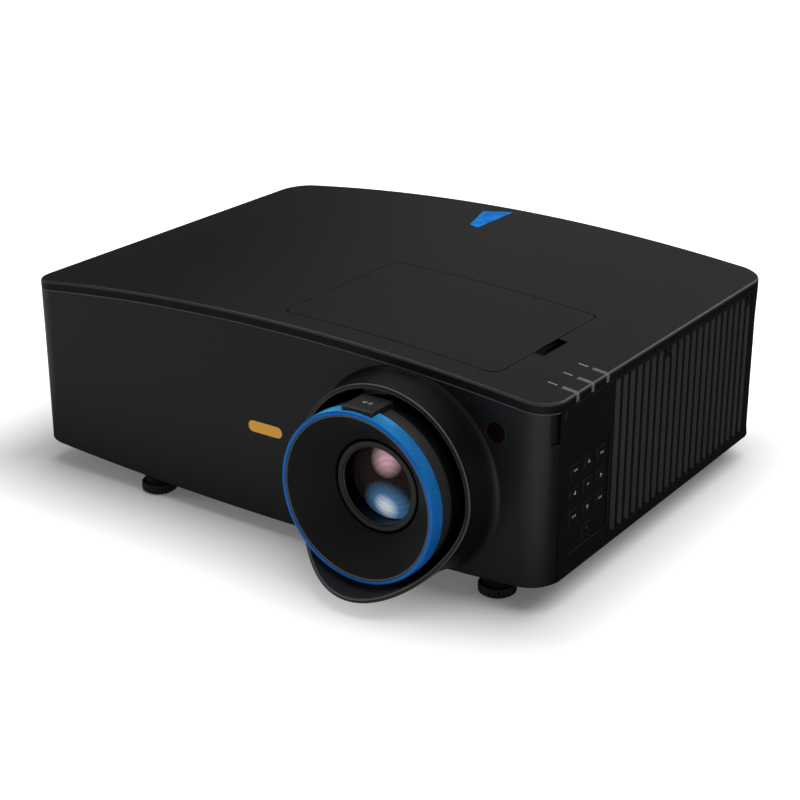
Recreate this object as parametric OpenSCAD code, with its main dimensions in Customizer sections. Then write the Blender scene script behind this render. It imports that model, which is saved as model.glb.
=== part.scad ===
// Home projector: arched casing, offset zoom lens in a chin-shaped collar, keypad on
// the right side, louvred sides, screw feet. Units are millimetres.
// +X is the keypad side, -Y is the lens side, +Z is up. The origin lies on the table,
// under the middle of the overall box.

/* [Casing] */
// Width over the two side walls
body_w = 490; // [450:1:540]
// Depth from the front face to the rear face
body_d = 354; // [340:1:400]
// Height of the side walls
side_h = 138.5; // [136:0.5:160]
// Rise of the arched top above the side walls
top_crown = 15.8; // [12:0.1:22]
// Drop of the arched underside below the side walls
bottom_crown = 9.4; // [6:0.1:11]
// Height of the side walls' lower edge above the table
ride_h = 22; // [20:0.5:28]
// Radius of the four upright corners
corner_r = 22.5; // [14:0.5:26]
// Thickness of the moulded covers
wall = 3; // [2.4:0.1:3.4]
// Gap between neighbouring covers
seam_gap = 0.4; // [0.2:0.1:0.8]
// Depth of the top cover's rim below the casing's top edge
seam_drop = 7; // [6:0.5:9]
// How far the front cover wraps round the corners
front_wrap = 17.5; // [15:0.5:20]
// How far the rear cover wraps round the corners
rear_wrap = 20; // [17:0.5:24]
// Height of the plane on which the inner units stand, above the side walls' edge
deck_rise = 8; // [6:0.5:9]
// Radius of the posts under the inner units
post_r = 4; // [3:0.5:5]

/* [Lens and collar] */
// Lens axis, from the middle of the casing
lens_x = 125.6; // [118:0.1:132]
// Lens axis, above the side walls' lower edge
lens_rise = 63.7; // [63:0.1:67]
// Distance from the front face to the front of the focus ring
lens_reach = 59; // [56:0.5:62]
// Finger gap between the focus ring and the collar
collar_gap = 9.1; // [8.5:0.1:11]
// Thickness of the collar
collar_wall = 2.5; // [2:0.1:3.2]
// How far the collar's upper half stands off the front face
collar_reach = 29; // [26:0.5:33]
// How far the chin under the lens stands off the front face
chin_reach = 73; // [66:0.5:78]
// Radius of the fillet between the collar and the front face
collar_fillet = 11; // [6:0.5:16]
// Radius of the receiver window in the front face
window_r = 7.8; // [5:0.1:9]
// Thickness of the focus ring at its rear
focus_ring_wall = 3.92; // [2.42:0.1:4.92]
// Width of the focus ring
focus_ring_w = 13.2; // [10:0.1:13.4]
// Thickness of the zoom ring
zoom_ring_wall = 2.92; // [1.92:0.1:3.92]
// Width of the zoom ring
zoom_ring_w = 16; // [12:0.5:18]
// Width of the zoom lever plate
lever_w = 26.5; // [20:0.5:30]
// Thickness of the zoom lever plate at its middle
lever_t = 1.8; // [1.5:0.1:2.4]
// Outer radius of the barrel under the two rings
barrel_r = 61; // [60:0.1:61.5]
// Depth of the conical hood
hood_depth = 25; // [22:0.5:27]
// Inner radius of the hood's rear opening
hood_rear_r = 36; // [35.8:0.1:38]
// Radius of the focus cell's front rim
cell_rim_r = 34.6; // [33:0.1:35]
// Clear radius of the front glass
glass_r = 28.8; // [26:0.1:30]
// Radius of the bore in which the focus and zoom cells slide
cell_bore_r = 37; // [36.8:0.1:38]
// Thickness of the barrel's inner tube
cell_tube_t = 3; // [2:0.1:3.5]
// Travel of the focus cell, each way
focus_travel = 2; // [1:0.1:2.5]
// Travel of the zoom cell, each way
zoom_travel = 6; // [3:0.5:7]

/* [Lens shift] */
// Vertical lens shift, each way
v_shift = 4; // [2:0.1:4.5]
// Horizontal lens shift, each way
h_shift = 3; // [2:0.1:3.5]
// Thickness of the shift plates
plate_t = 6; // [5:0.5:6.5]
// Gap between neighbouring shift plates
plate_gap = 8; // [7.5:0.5:9]
// Radius of the guide rails
rail_r = 2.5; // [2:0.1:2.8]
// Radius of the lead screws
screw_r = 2; // [1.5:0.1:2.3]
// Radius of the vertical shift knob
v_knob_r = 12; // [9:0.5:13]
// Radius of the horizontal shift wheel
h_wheel_r = 14.5; // [13:0.5:15.5]
// Width of the horizontal shift wheel
h_wheel_w = 8; // [6:0.5:9]

/* [Shift door] */
// Left edge of the door, from the middle of the casing
door_x = 1.7; // [-6:0.1:6]
// Width of the door
door_w = 186; // [180:0.5:192]
// Front edge of the door, from the front face
door_front = 23; // [20:0.5:25]
// Depth of the door
door_d = 145; // [140:0.5:160]
// Corner radius of the door, at its free end
door_r = 9; // [6:0.5:12]
// Corner radius of the door, at its hinge
door_hinge_r = 4; // [3:0.5:6]
// Gap round the door
door_gap = 0.5; // [0.3:0.1:0.8]
// Depth of the well under the door's right edge
well_depth = 17; // [16.5:0.1:18]
// Thickness of the well's walls
well_t = 2; // [1.5:0.1:2.5]
// Width of the ledge that carries the door
ledge_w = 4; // [3:0.5:5]
// Radius of the door's hinge pins
hinge_pin_r = 0.9; // [0.7:0.1:1]
// Length of the finger notch at the door's edge
notch_l = 35; // [28:0.5:42]
// Width of the finger notch
notch_w = 9; // [7:0.5:10]

/* [Keypad] */
// Middle column of keys, behind the front face
pad_y = 59.8; // [56:0.1:64]
// Height of the middle row of keys above the side walls' lower edge
pad_z = 61.4; // [58:0.1:66]
// Distance between key columns
key_pitch_y = 19; // [17.5:0.1:19.5]
// Distance between key rows
key_pitch_z = 17.9; // [15:0.1:18.2]
// Width of a key
key_w = 13.5; // [11:0.1:14]
// Height of a key
key_h = 11; // [9:0.1:12]
// Gap round a key
key_gap = 0.45; // [0.3:0.05:0.6]
// Travel of a key
key_travel = 0.8; // [0.5:0.1:1]
// Depth of the panel in which the keys stand
pad_recess = 0.8; // [0.5:0.1:1]

/* [Louvres] */
// Number of louvre blades on each side
louvre_n = 21; // [16:1:21]
// Distance between the blades
louvre_pitch = 11.05; // [9:0.05:11.1]
// Thickness of a blade
blade_t = 2.2; // [1.6:0.1:2.8]
// Depth of the louvres
louvre_depth = 8; // [6:0.5:9]
// Height of the louvres' lower ends above the side walls' lower edge
louvre_low = 8; // [6:0.5:12]
// Height of the louvres
louvre_h = 121; // [110:0.5:121]

/* [Feet] */
// Left front foot, from the middle of the casing
left_foot_x = -124.5; // [-140:0.5:-110]
// Right front foot, from the middle of the casing
right_foot_x = 195.3; // [188:0.1:200]
// Left front foot, behind the front face
left_foot_y = 11.6; // [11.5:0.1:20]
// Right front foot, behind the front face
right_foot_y = 19; // [17:0.1:24]
// Radius of the tray's neck above a foot
neck_r = 11.3; // [10:0.1:12]
// Radius of a foot's knurled ring
foot_r = 14.3; // [12:0.1:15]
// Height of a foot's knurled ring
foot_h = 7; // [5:0.5:8]
// Thickness of a foot's rubber pad
pad_t = 1.5; // [1:0.1:2]
// Radius of the foot's screw
stud_r = 4; // [3:0.1:5]
// Extension of a foot
foot_travel = 12; // [6:0.5:14]

/* [Inner units] */
// Width and depth of the light engine's case
engine_w = 124; // [118:1:130]
// Length of the light engine's case
engine_d = 126; // [110:1:130]
// Height of the light engine's case
engine_h = 112; // [108:1:114]
// Wall of the light engine's case
engine_wall = 4; // [3:0.5:5]
// Side of a fan's square frame
fan_size = 92; // [80:1:92]
// Thickness of a fan
fan_t = 25; // [20:1:26]
// Gap between a fan and the louvres
fan_gap = 3; // [2:0.5:5]
// Radius of the phosphor wheel
phosphor_r = 30; // [24:1:32]
// Width of the power supply
supply_w = 95; // [80:1:100]
// Length of the power supply
supply_d = 190; // [160:1:200]
// Height of the power supply
supply_h = 62; // [50:1:70]
// Thickness of the circuit boards
board_t = 1.6; // [1.2:0.1:2]
// Depth of the sockets, from the main board to the rear face
socket_d = 16; // [14:0.5:18]

/* [Mounting] */
// Ceiling-mount holes, spacing across the casing
mount_dx = 260; // [240:1:300]
// Ceiling-mount holes, spacing along the casing
mount_dy = 200; // [180:1:220]
// Ceiling-mount holes, middle of the pattern behind the front face
mount_y = 197; // [190:1:205]
// Radius of the ceiling-mount holes
mount_r = 3; // [2.5:0.1:3.2]
// Radius of the bosses round the ceiling-mount holes
mount_boss_r = 8; // [6:0.5:10]
// Depth of the ceiling-mount holes
mount_depth = 12; // [10:0.5:13]

/* [Hidden] */

$fn = 64;
// Number of sides of the very large arcs
arc_fn = 720;
// Length that reaches past any face that is cut
past = 1;
// Radial clearance of a shaft that turns or slides in a bore
running_gap = 0.06;
// Gap between a piece and its seat
seat_gap = 0.3;

// Front and rear faces, with the origin under the middle of casing and chin
front_y = (chin_reach - body_d) / 2;
rear_y = front_y + body_d;
half_w = body_w / 2;

// Arched top and underside
function arc_radius(half, rise) = (half * half + rise * rise) / (2 * rise);
top_r = arc_radius(half_w, top_crown);
top_cz = ride_h + side_h + top_crown - top_r;
under_r = arc_radius(half_w, bottom_crown);
under_cz = ride_h - bottom_crown + under_r;
function top_z(x) = top_cz + sqrt(top_r * top_r - x * x);
function under_z(x) = under_cz - sqrt(under_r * under_r - x * x);
deck_z = ride_h + deck_rise;
tray_in = wall + seam_gap;
louvre_rim = 1.5;
flange_t = 2;
flange_z = ride_h + louvre_low - louvre_rim - seam_gap;

// Joints between the covers
front_seam = front_y + front_wrap;
rear_seam = rear_y - rear_wrap;

// Lens: ring front, and places along the axis measured back from it
lens_z = ride_h + lens_rise;
ring_y = front_y - lens_reach;
bore_gap = 0.08;
rings_gap = 0.4;
ring_bore_r = barrel_r + bore_gap;
focus_ring_r = ring_bore_r + focus_ring_wall;
zoom_ring_r = ring_bore_r + zoom_ring_wall;
collar_r = focus_ring_r + collar_gap;
zoom_ring_t = focus_ring_w + rings_gap;
shoulder_t = zoom_ring_t + zoom_ring_w + rings_gap;
lip_t = 2.2;
barrel_t = 1.5;
web_t = shoulder_t + 2;
tube_r = cell_bore_r + cell_tube_t;
v_plate_t = 94;
v_rail_t = v_plate_t + plate_t + plate_gap / 2;
h_plate_t = v_plate_t + plate_t + plate_gap;
h_rail_t = h_plate_t + plate_t + plate_gap / 2;
frame_t = h_plate_t + plate_t + plate_gap;
engine_t = frame_t + plate_t;
barrel_len = engine_t + 8;
shift_gap = 1.5;
barrel_body_r = 54;
cell_len = 20;
focus_cell_t = 44;
zoom_cell_t = 84;
element_t = 10;

// Shift plates and what they carry
v_plate_w = 60;
v_plate_h = 53;
h_plate_h = 60;
rail_off = tube_r + 6;
cross_rail_off = tube_r + 9.5;
v_screw_x = tube_r + 15;
h_screw_z = tube_r + 17.5;
lug = 5;
cross_lug_h = 9;
screw_lug_h = 6.6;
v_knob_h = 11;
h_wheel_x = 84;

// Shift door
door_y = front_y + door_front;
door_x1 = door_x + door_w;
hinge_x = door_x + wall / 2;
hinge_z = top_z(hinge_x) - wall / 2;
well_z = top_z(door_x1) - well_depth;
notch_y = door_y + door_d * 0.35;
hinge_pin_l = 4;

// Receiver window in the front face, and the pocket beside the front cover's right seam
window_x = 202.8;
window_z = ride_h + 112.1;
window_gap = 0.15;
window_t = 1.6;
pocket_y = front_seam - 7.5;
pocket_depth = 2.2;
pocket_z = ride_h + 107;
pocket_h = 23;

// Keypad
key_y0 = front_y + pad_y;
key_z0 = ride_h + pad_z;
pad_margin_y = 10.5;
pad_margin_top = 11.5;
pad_margin_low = 8.5;
key_skirt = 1.2;
key_skirt_t = 1;
key_face_gap = 0.3;

// Louvres
louvre_y = front_y + 94.5;
louvre_z = ride_h + louvre_low;

// Fans
fan_r = fan_size / 2 - 2.5;
fan_hub_r = 19;
fan_x = half_w - louvre_depth - fan_gap - fan_t;
fan_base_t = 4;
fan_shaft_r = 1.5;
intake_fan_y = front_y + 165;
exhaust_fan_a_y = front_y + 78;
exhaust_fan_b_y = front_y + 186;

// Light engine and what hangs on it
engine_y = ring_y + engine_t;
engine_x = lens_x - engine_w / 2;
laser_w = 62;
laser_d = 64;
laser_h = 56;
laser_x = engine_x - laser_w;
laser_y = engine_y + 42;
sink_w = 60;
sink_gap = 26;
sink_d = 96;
sink_h = 78;
sink_x = laser_x - sink_gap - sink_w;
sink_y = laser_y - 16;
dmd_w = 92;
dmd_h = 84;
dmd_sink_d = 34;

// Power supply and main board
supply_x = -half_w + louvre_depth + fan_gap + fan_t + 10;
supply_y = front_y + 40;
board_y = rear_y - socket_d - board_t;
board_x0 = -96;
board_x1 = 150;
board_h = 100;
socket_z = deck_z + 26;
inlet_x = 55 - half_w;

foot_floor = 2.5;
neck_z = pad_t + foot_floor + 3;
dish_gap = 1.2;
screw_head_r = 2.8;
SIDE_SCREWS = [[front_y + 23.7, 126.5], [louvre_y + 82.5, 126.5], [louvre_y + 226.8, 126.5]];
SCREW_NOTCH = 4.5;
FEET_REAR = [[65 - half_w, rear_y - 45], [half_w - 65, rear_y - 45]];

// ---------------------------------------------------------------- shared shapes

// Extrudes a section drawn in X and Z along Y
module along_y(y0, y1) {
    translate([0, y1, 0]) rotate([90, 0, 0]) linear_extrude(y1 - y0) children();
}

// Extrudes a section drawn in Y and Z along X
module along_x(x0, x1) {
    translate([x0, 0, 0]) rotate([90, 0, 90]) linear_extrude(x1 - x0) children();
}

// Turns a part drawn round +Z so that it lies round the lens axis, front end first
module at_lens() {
    translate([lens_x, ring_y, lens_z]) rotate([-90, 0, 0]) children();
}

// Rectangle with exact round corners, from its lower left corner
module round_rect(w, h, r) {
    translate([r, 0]) square([w - 2 * r, h]);
    translate([0, r]) square([w, h - 2 * r]);
    for (x = [r, w - r], y = [r, h - r]) translate([x, y]) circle(r);
}

// A ring of revolution between two radii and two heights
module ring(r_out, r_in, z0, z1) {
    difference() {
        translate([0, 0, z0]) cylinder(r = r_out, h = z1 - z0);
        translate([0, 0, z0 - past]) cylinder(r = r_in, h = z1 - z0 + 2 * past);
    }
}

module box(low, high) {
    translate(low) cube([high[0] - low[0], high[1] - low[1], high[2] - low[2]]);
}

// Section through the casing, drawn in X and Z
module casing_section(inset) {
    intersection() {
        translate([-half_w + inset, 0]) square([body_w - 2 * inset, ride_h + side_h + top_crown]);
        translate([0, top_cz]) circle(top_r - inset, $fn = arc_fn);
        translate([0, under_cz]) circle(under_r - inset, $fn = arc_fn);
    }
}

// Everything below the arc that runs a given depth under the top
module below_top(drop) {
    translate([0, top_cz]) circle(top_r - drop, $fn = arc_fn);
}

module plan_block(inset) {
    linear_extrude(ride_h + side_h + top_crown + past)
        translate([-half_w + inset, front_y + inset])
            round_rect(body_w - 2 * inset, body_d - 2 * inset, corner_r - inset);
}

module casing_block(inset) {
    intersection() {
        along_y(front_y + inset, rear_y - inset) casing_section(inset);
        plan_block(inset);
    }
}

// The casing's upright walls between two depths, up to the top cover's rim
module wall_band(y0, y1) {
    difference() {
        intersection() {
            along_y(y0, y1) intersection() {
                casing_section(0);
                below_top(seam_drop + seam_gap);
            }
            plan_block(0);
        }
        plan_block(wall);
    }
}

// ---------------------------------------------------------------- casing

module post(x, y, top) {
    translate([x, y, 0]) cylinder(r = post_r, h = top);
}

module tray_posts() {
    for (x = [engine_x + 10, engine_x + engine_w - 10], y = [engine_y + 10, engine_y + engine_d - 10])
        post(x, y, deck_z);
    for (x = [laser_x + 8, laser_x + laser_w - 8], y = [laser_y + 8, laser_y + laser_d - 8])
        post(x, y, deck_z);
    for (x = [sink_x + 10, sink_x + sink_w - 10], y = [sink_y + 10, sink_y + sink_d - 10])
        post(x, y, deck_z);
    for (x = [supply_x + 8, supply_x + supply_w - 8], y = [supply_y + 8, supply_y + supply_d - 8])
        post(x, y, deck_z);
    for (x = [board_x0 + 12, board_x1 - 12]) post(x, board_y + board_t / 2, deck_z);
    for (y = [-1, 1]) {
        post(fan_x + fan_t / 2, intake_fan_y + y * fan_size / 3, deck_z);
        post(-fan_x - fan_t / 2, exhaust_fan_a_y + y * fan_size / 3, deck_z);
        post(-fan_x - fan_t / 2, exhaust_fan_b_y + y * fan_size / 3, deck_z);
    }
}

module mount_places() {
    for (x = [-1, 1], y = [-1, 1])
        translate([x * mount_dx / 2, front_y + mount_y + y * mount_dy / 2, 0]) children();
}

// Lower face of the ceiling-mount bosses
mount_z = under_z(mount_dx / 2) - 1.5;

module foot_places() {
    translate([left_foot_x, front_y + left_foot_y, 0]) children();
    translate([right_foot_x, front_y + right_foot_y, 0]) children();
}

module base_tray() color([0.09, 0.09, 0.10]) {
    difference() {
        union() {
            intersection() {
                along_y(front_y, rear_y) casing_section(0);
                plan_block(tray_in);
                union() {
                    difference() {
                        along_y(front_y, rear_y) casing_section(0);
                        along_y(front_y - past, rear_y + past)
                            translate([0, under_cz]) circle(under_r - wall, $fn = arc_fn);
                    }
                    difference() {
                        box([-half_w, front_y, 0], [half_w, rear_y, flange_z]);
                        plan_block(tray_in + flange_t);
                    }
                    tray_posts();
                    mount_places() cylinder(r = mount_boss_r, h = mount_z + mount_depth + 2);
                    foot_places() cylinder(r = stud_r + 4, h = deck_z + 16);
                    foot_places() cylinder(r = neck_r, h = ride_h);
                }
            }
            mount_places() translate([0, 0, mount_z]) cylinder(r = mount_boss_r, h = wall);
            // Necks over the feet, clear of the front cover's lower edge
            difference() {
                foot_places() translate([0, 0, neck_z]) cylinder(r = neck_r, h = ride_h - neck_z);
                along_y(front_y - past, rear_y + past)
                    translate([0, under_cz]) circle(under_r + seam_gap, $fn = arc_fn);
            }
            intersection() {
                foot_places() translate([0, 0, neck_z]) cylinder(r = neck_r, h = ride_h - neck_z);
                plan_block(tray_in);
            }
        }
        mount_places() translate([0, 0, mount_z - past]) cylinder(r = mount_r, h = mount_depth + past);
        foot_places() translate([0, 0, -past]) cylinder(r = stud_r + running_gap, h = deck_z + 20);
        // Room for the lens barrel over the front flange
        at_lens() cylinder(r = barrel_body_r + v_shift + shift_gap, h = v_plate_t);
    }
}

// The door in plan: tighter corners at the hinge than at the free end
module door_outline(grow) {
    w = door_w + 2 * grow;
    d = door_d + 2 * grow;
    translate([door_x - grow, door_y - grow]) intersection() {
        translate([-w, 0]) round_rect(2 * w, d, door_r + grow);
        round_rect(2 * w, d, door_hinge_r + grow);
    }
}

// The door's opening: square corners at the hinge let the door's round corners swing
module door_opening() {
    door_outline(door_gap);
    translate([door_x - door_gap, door_y - door_gap])
        square([door_hinge_r + door_gap, door_d + 2 * door_gap]);
}

// One light pipe's room: over the top and down the right edge
PIPE_Y = [front_y + 38.4, front_y + 59.9, front_y + 81.4];
pipe_w = 4.4;
pipe_l = 12.5;
pipe_down = 5;
module pipe_block(y, grow) {
    box([half_w - pipe_l - grow, y - pipe_w / 2 - grow, ride_h + side_h - pipe_down - grow],
        [half_w + past, y + pipe_w / 2 + grow, top_z(0)]);
}

module top_cover() color([0.10, 0.10, 0.11]) {
    difference() {
        union() {
            // The arched lid with its rim
            difference() {
                casing_block(0);
                casing_block(wall);
                along_y(front_y - past, rear_y + past) below_top(seam_drop);
            }
            // Ledge that carries the door, walls and floor of the well
            intersection() {
                linear_extrude(top_z(0)) difference() {
                    door_outline(door_gap + well_t);
                    door_outline(-ledge_w);
                }
                along_y(front_y, rear_y) difference() {
                    casing_section(wall + seat_gap);
                    below_top(wall + seat_gap + well_t);
                }
            }
            intersection() {
                translate([0, 0, well_z - well_t]) linear_extrude(top_z(0) - well_z) difference() {
                    door_outline(-ledge_w + well_t);
                    door_outline(-ledge_w);
                }
                casing_block(wall + seat_gap);
            }
            intersection() {
                linear_extrude(top_z(0)) difference() {
                    door_outline(door_gap + well_t);
                    door_outline(door_gap);
                }
                along_y(front_y, rear_y) difference() {
                    casing_section(wall - past / 2);
                    below_top(wall + seat_gap + well_t);
                }
            }
            translate([0, 0, well_z - well_t]) linear_extrude(well_t) door_outline(-ledge_w + past / 2);
            // Pocket of the finger notch
            box([door_x1 - ledge_w, notch_y - well_t, well_z + 8],
                [door_x1 + notch_w + well_t, notch_y + notch_l + well_t, top_z(half_w) + 1.5]);
        }
        // Opening for the door, and the bores for its hinge pins
        difference() {
            linear_extrude(top_z(0) + past) door_opening();
            along_y(front_y - past, rear_y + past) below_top(wall + seat_gap);
        }
        translate([hinge_x, door_y - hinge_pin_l - seat_gap, hinge_z]) rotate([-90, 0, 0])
            cylinder(r = hinge_pin_r + running_gap, h = door_d + 2 * (hinge_pin_l + seat_gap));
        // Finger notch
        box([door_x1 - ledge_w - past, notch_y, well_z + 8 + well_t],
            [door_x1 + notch_w, notch_y + notch_l, top_z(0) + past]);
        for (y = PIPE_Y) pipe_block(y, 0.15);
        // Openings in the well's floor for the knob's shaft and the wheel
        translate([lens_x - v_screw_x, ring_y + v_rail_t, well_z - well_t - past]) {
            for (x = [-h_shift, h_shift]) translate([x, 0, 0]) cylinder(r = 5, h = well_t + 2 * past);
            translate([-h_shift, -5, 0]) cube([2 * h_shift, 10, well_t + 2 * past]);
        }
        box([lens_x - h_wheel_x - 1.5, ring_y + h_rail_t - h_wheel_r - 1, well_z - well_t - past],
            [lens_x - h_wheel_x + h_wheel_w + 1.5, ring_y + h_rail_t + h_wheel_r + 1, well_z + past]);
    }
}

module shift_door() color([0.10, 0.10, 0.11]) {
    difference() {
        intersection() {
            along_y(front_y, rear_y) difference() {
                casing_section(0);
                below_top(wall);
            }
            linear_extrude(top_z(0)) door_outline(0);
        }
        // Half-round hinge edge
        difference() {
            box([door_x - past, door_y - past, hinge_z - wall],
                [hinge_x, door_y + door_d + past, top_z(0) + past]);
            translate([hinge_x, door_y - 2 * past, hinge_z]) rotate([-90, 0, 0])
                cylinder(r = wall / 2, h = door_d + 4 * past);
        }
    }
    for (y = [door_y - hinge_pin_l, door_y + door_d - door_hinge_r])
        translate([hinge_x, y, hinge_z]) rotate([-90, 0, 0])
            cylinder(r = hinge_pin_r, h = hinge_pin_l + door_hinge_r);
}

module indicator_light_pipes() color([0.55, 0.53, 0.53]) {
    intersection() {
        difference() {
            casing_block(0);
            casing_block(wall);
        }
        union() for (y = PIPE_Y) pipe_block(y, 0);
    }
}

// Section of the collar: its wall, and a concave fillet out to the front face
module collar_profile() {
    square_r = collar_r + collar_wall;
    sink = 0.15;
    difference() {
        union() {
            translate([collar_r, lens_reach - chin_reach]) square([collar_wall, chin_reach + wall / 2]);
            translate([square_r - wall / 4, lens_reach - collar_fillet])
                square([collar_fillet, collar_fillet + wall / 2]);
        }
        translate([square_r + collar_fillet, lens_reach - collar_fillet + sink]) circle(collar_fillet);
    }
}

// Radius of the arc that carries the collar's rim forward into the chin
chin_step = chin_reach - collar_reach;
chin_arc_r = arc_radius(collar_r, chin_step);

module front_cover() color([0.10, 0.10, 0.11]) {
    difference() {
        union() {
            difference() {
                wall_band(front_y, front_seam - seam_gap / 2);
                at_lens() cylinder(r = collar_r + collar_wall / 2, h = lens_reach + wall + past);
            }
            intersection() {
                at_lens() difference() {
                    rotate_extrude() collar_profile();
                    // Upper half: cut square. Lower half: the rim sweeps forward in an arc
                    translate([-2 * collar_r, -2 * collar_r, -chin_reach])
                        cube([4 * collar_r, 2 * collar_r, lens_reach + chin_reach - collar_reach]);
                    translate([-2 * collar_r, 0, lens_reach - collar_reach - chin_arc_r])
                        rotate([0, 90, 0]) cylinder(r = chin_arc_r, h = 4 * collar_r, $fn = 128);
                }
                along_y(front_y - chin_reach - past, front_y + wall / 3) intersection() {
                    below_top(seam_drop + seam_gap);
                    union() {
                        translate([0, under_cz]) circle(under_r, $fn = arc_fn);
                        translate([lens_x, lens_z]) circle(collar_r + collar_wall + past / 10);
                    }
                }
            }
            // Neck of the collar, through the thickness of the front wall
            intersection() {
                at_lens() ring(collar_r + collar_wall, collar_r, lens_reach - past, lens_reach + wall);
                along_y(front_y - 2 * past, front_y + 2 * wall) below_top(seam_drop + seam_gap);
            }
        }
        // Pocket beside the seam to the right side cover
        box([half_w - pocket_depth, pocket_y, pocket_z],
            [half_w + past, front_seam + past, pocket_z + pocket_h]);
        // Seat of the receiver window
        translate([window_x, front_y - past, window_z]) rotate([-90, 0, 0])
            cylinder(r = window_r + window_gap, h = past + window_t + 0.1);
    }
}

module ir_window() color([0.12, 0.0, 0.0]) {
    translate([window_x, front_y, window_z]) rotate([-90, 0, 0]) cylinder(r = window_r, h = window_t);
}

// Louvre blades, drawn for the +X side: each leans so that its outer edge is the rear one
module louvres() {
    slant = 45;
    reach = louvre_depth / cos(slant) + 2 * blade_t;
    intersection() {
        for (i = [0:louvre_n - 1])
            translate([half_w - louvre_depth, louvre_y + i * louvre_pitch + 0.5, louvre_z])
                rotate([0, 0, slant]) translate([-blade_t, 0, 0]) cube([reach, blade_t, louvre_h]);
        box([half_w - louvre_depth, louvre_y, louvre_z],
            [half_w, louvre_y + louvre_n * louvre_pitch, louvre_z + louvre_h]);
    }
}

module louvre_window() {
    box([half_w - wall - past, louvre_y, louvre_z],
        [half_w + past, louvre_y + louvre_n * louvre_pitch - past, louvre_z + louvre_h]);
}

// Frame behind the louvre window that carries the blades' inner halves
module louvre_frame() {
    y1 = louvre_y + louvre_n * louvre_pitch;
    difference() {
        box([half_w - louvre_depth, louvre_y - louvre_rim, louvre_z - louvre_rim],
            [half_w - wall + past / 2, y1, louvre_z + louvre_h + 1]);
        box([half_w - louvre_depth - past, louvre_y, louvre_z],
            [half_w, y1 - past - 0.5, louvre_z + louvre_h]);
    }
}

module side_screw_places() {
    for (s = SIDE_SCREWS) translate([half_w, s[0], ride_h + s[1]]) rotate([0, -90, 0]) children();
}

module right_side_cover() color([0.09, 0.09, 0.10]) {
    difference() {
        union() {
            difference() {
                intersection() {
                    wall_band(front_seam + seam_gap / 2, rear_seam - seam_gap / 2);
                    box([0, front_y, 0], [half_w, rear_y, top_z(0)]);
                }
                louvre_window();
            }
            louvre_frame();
            difference() {
                louvres();
                side_screw_places() translate([-SCREW_NOTCH, -SCREW_NOTCH, -2 * past])
                    cube([2 * SCREW_NOTCH, 2 * SCREW_NOTCH, wall + 2 * past]);
            }
            side_screw_places() translate([0, 0, wall - 1.5]) cylinder(r = SCREW_NOTCH, h = 1.5);
        }
        side_screw_places() {
            translate([0, 0, -past]) cylinder(r = 1.7, h = louvre_depth + 2 * past);
            translate([0, 0, -past]) cylinder(r = screw_head_r + 0.2, h = past + 1.3);
        }
        // Sunken keypad panel and its key openings
        along_x(half_w - pad_recess, half_w + past)
            translate([key_y0 - key_pitch_y - pad_margin_y, key_z0 - 2 * key_pitch_z - pad_margin_low])
                round_rect(2 * (key_pitch_y + pad_margin_y),
                    3 * key_pitch_z + pad_margin_low + pad_margin_top, 3);
        for (k = KEYS) along_x(half_w - wall - past, half_w) key_outline(k, key_gap);
    }
}

module left_side_cover() color([0.09, 0.09, 0.10]) {
    mirror([1, 0, 0]) union() {
        difference() {
            intersection() {
                wall_band(front_seam + seam_gap / 2, rear_seam - seam_gap / 2);
                box([0, front_y, 0], [half_w, rear_y, top_z(0)]);
            }
            louvre_window();
        }
        louvre_frame();
        louvres();
    }
}

// Column, row (0 is the middle of the cross) and shape of each key
KEYS = [["key_menu", -1, 1, 0], ["key_up", 0, 1, 1], ["key_auto", 1, 1, 0],
    ["key_left", -1, 0, 2], ["key_ok", 0, 0, 0], ["key_right", 1, 0, 3],
    ["key_back", -1, -1, 0], ["key_down", 0, -1, 4], ["key_source", 1, -1, 0],
    ["key_power", 0, -2, 0]];

// Key outlines: square, or narrowed towards the side to which they point
module key_shape(kind, w, h) {
    n = 0.16;
    if (kind == 0) translate([-w / 2, -h / 2]) square([w, h]);
    a = w / 2;
    b = h / 2;
    if (kind == 1) polygon([[-a, -b], [a, -b], [a - n * w, b], [-a + n * w, b]]);
    if (kind == 2) polygon([[a, -b], [a, b], [-a, b - n * h], [-a, -b + n * h]]);
    if (kind == 3) polygon([[-a, -b], [a, -b + n * h], [a, b - n * h], [-a, b]]);
    if (kind == 4) polygon([[-a, b], [-a + n * w, -b], [a - n * w, -b], [a, b]]);
}

module key_outline(k, grow) {
    translate([key_y0 + k[1] * key_pitch_y, key_z0 + k[2] * key_pitch_z])
        key_shape(k[3], key_w + 2 * grow, key_h + 2 * grow);
}

key_out = half_w - pad_recess - 0.1;
key_back = half_w - wall - seat_gap;
keypad_board_x = key_back - key_skirt_t - key_travel - 1.2;

module key(name) color([0.07, 0.07, 0.075]) {
    for (k = KEYS) if (k[0] == name) {
        along_x(key_back - key_skirt_t / 2, key_out) key_outline(k, 0);
        along_x(key_back - key_skirt_t, key_back) key_outline(k, key_skirt);
        along_x(keypad_board_x + seat_gap + key_travel, key_back)
            translate([key_y0 + k[1] * key_pitch_y, key_z0 + k[2] * key_pitch_z]) circle(2);
    }
}

module keypad_board() color([0.05, 0.22, 0.12]) {
    pad_l = key_pitch_y + pad_margin_y;
    box([keypad_board_x - board_t, key_y0 - pad_l + 1, key_z0 - 2 * key_pitch_z - pad_margin_low],
        [keypad_board_x, key_y0 + pad_l - 1, key_z0 + key_pitch_z + pad_margin_top]);
    // Spacers to the back of the side cover
    for (y = [-1, 1], z = [key_z0 - 2 * key_pitch_z, key_z0 + key_pitch_z + pad_margin_top - 2])
        along_x(keypad_board_x - board_t / 2, half_w - wall)
            translate([key_y0 + y * (pad_l - 2.8), z]) circle(1.2);
}

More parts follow.
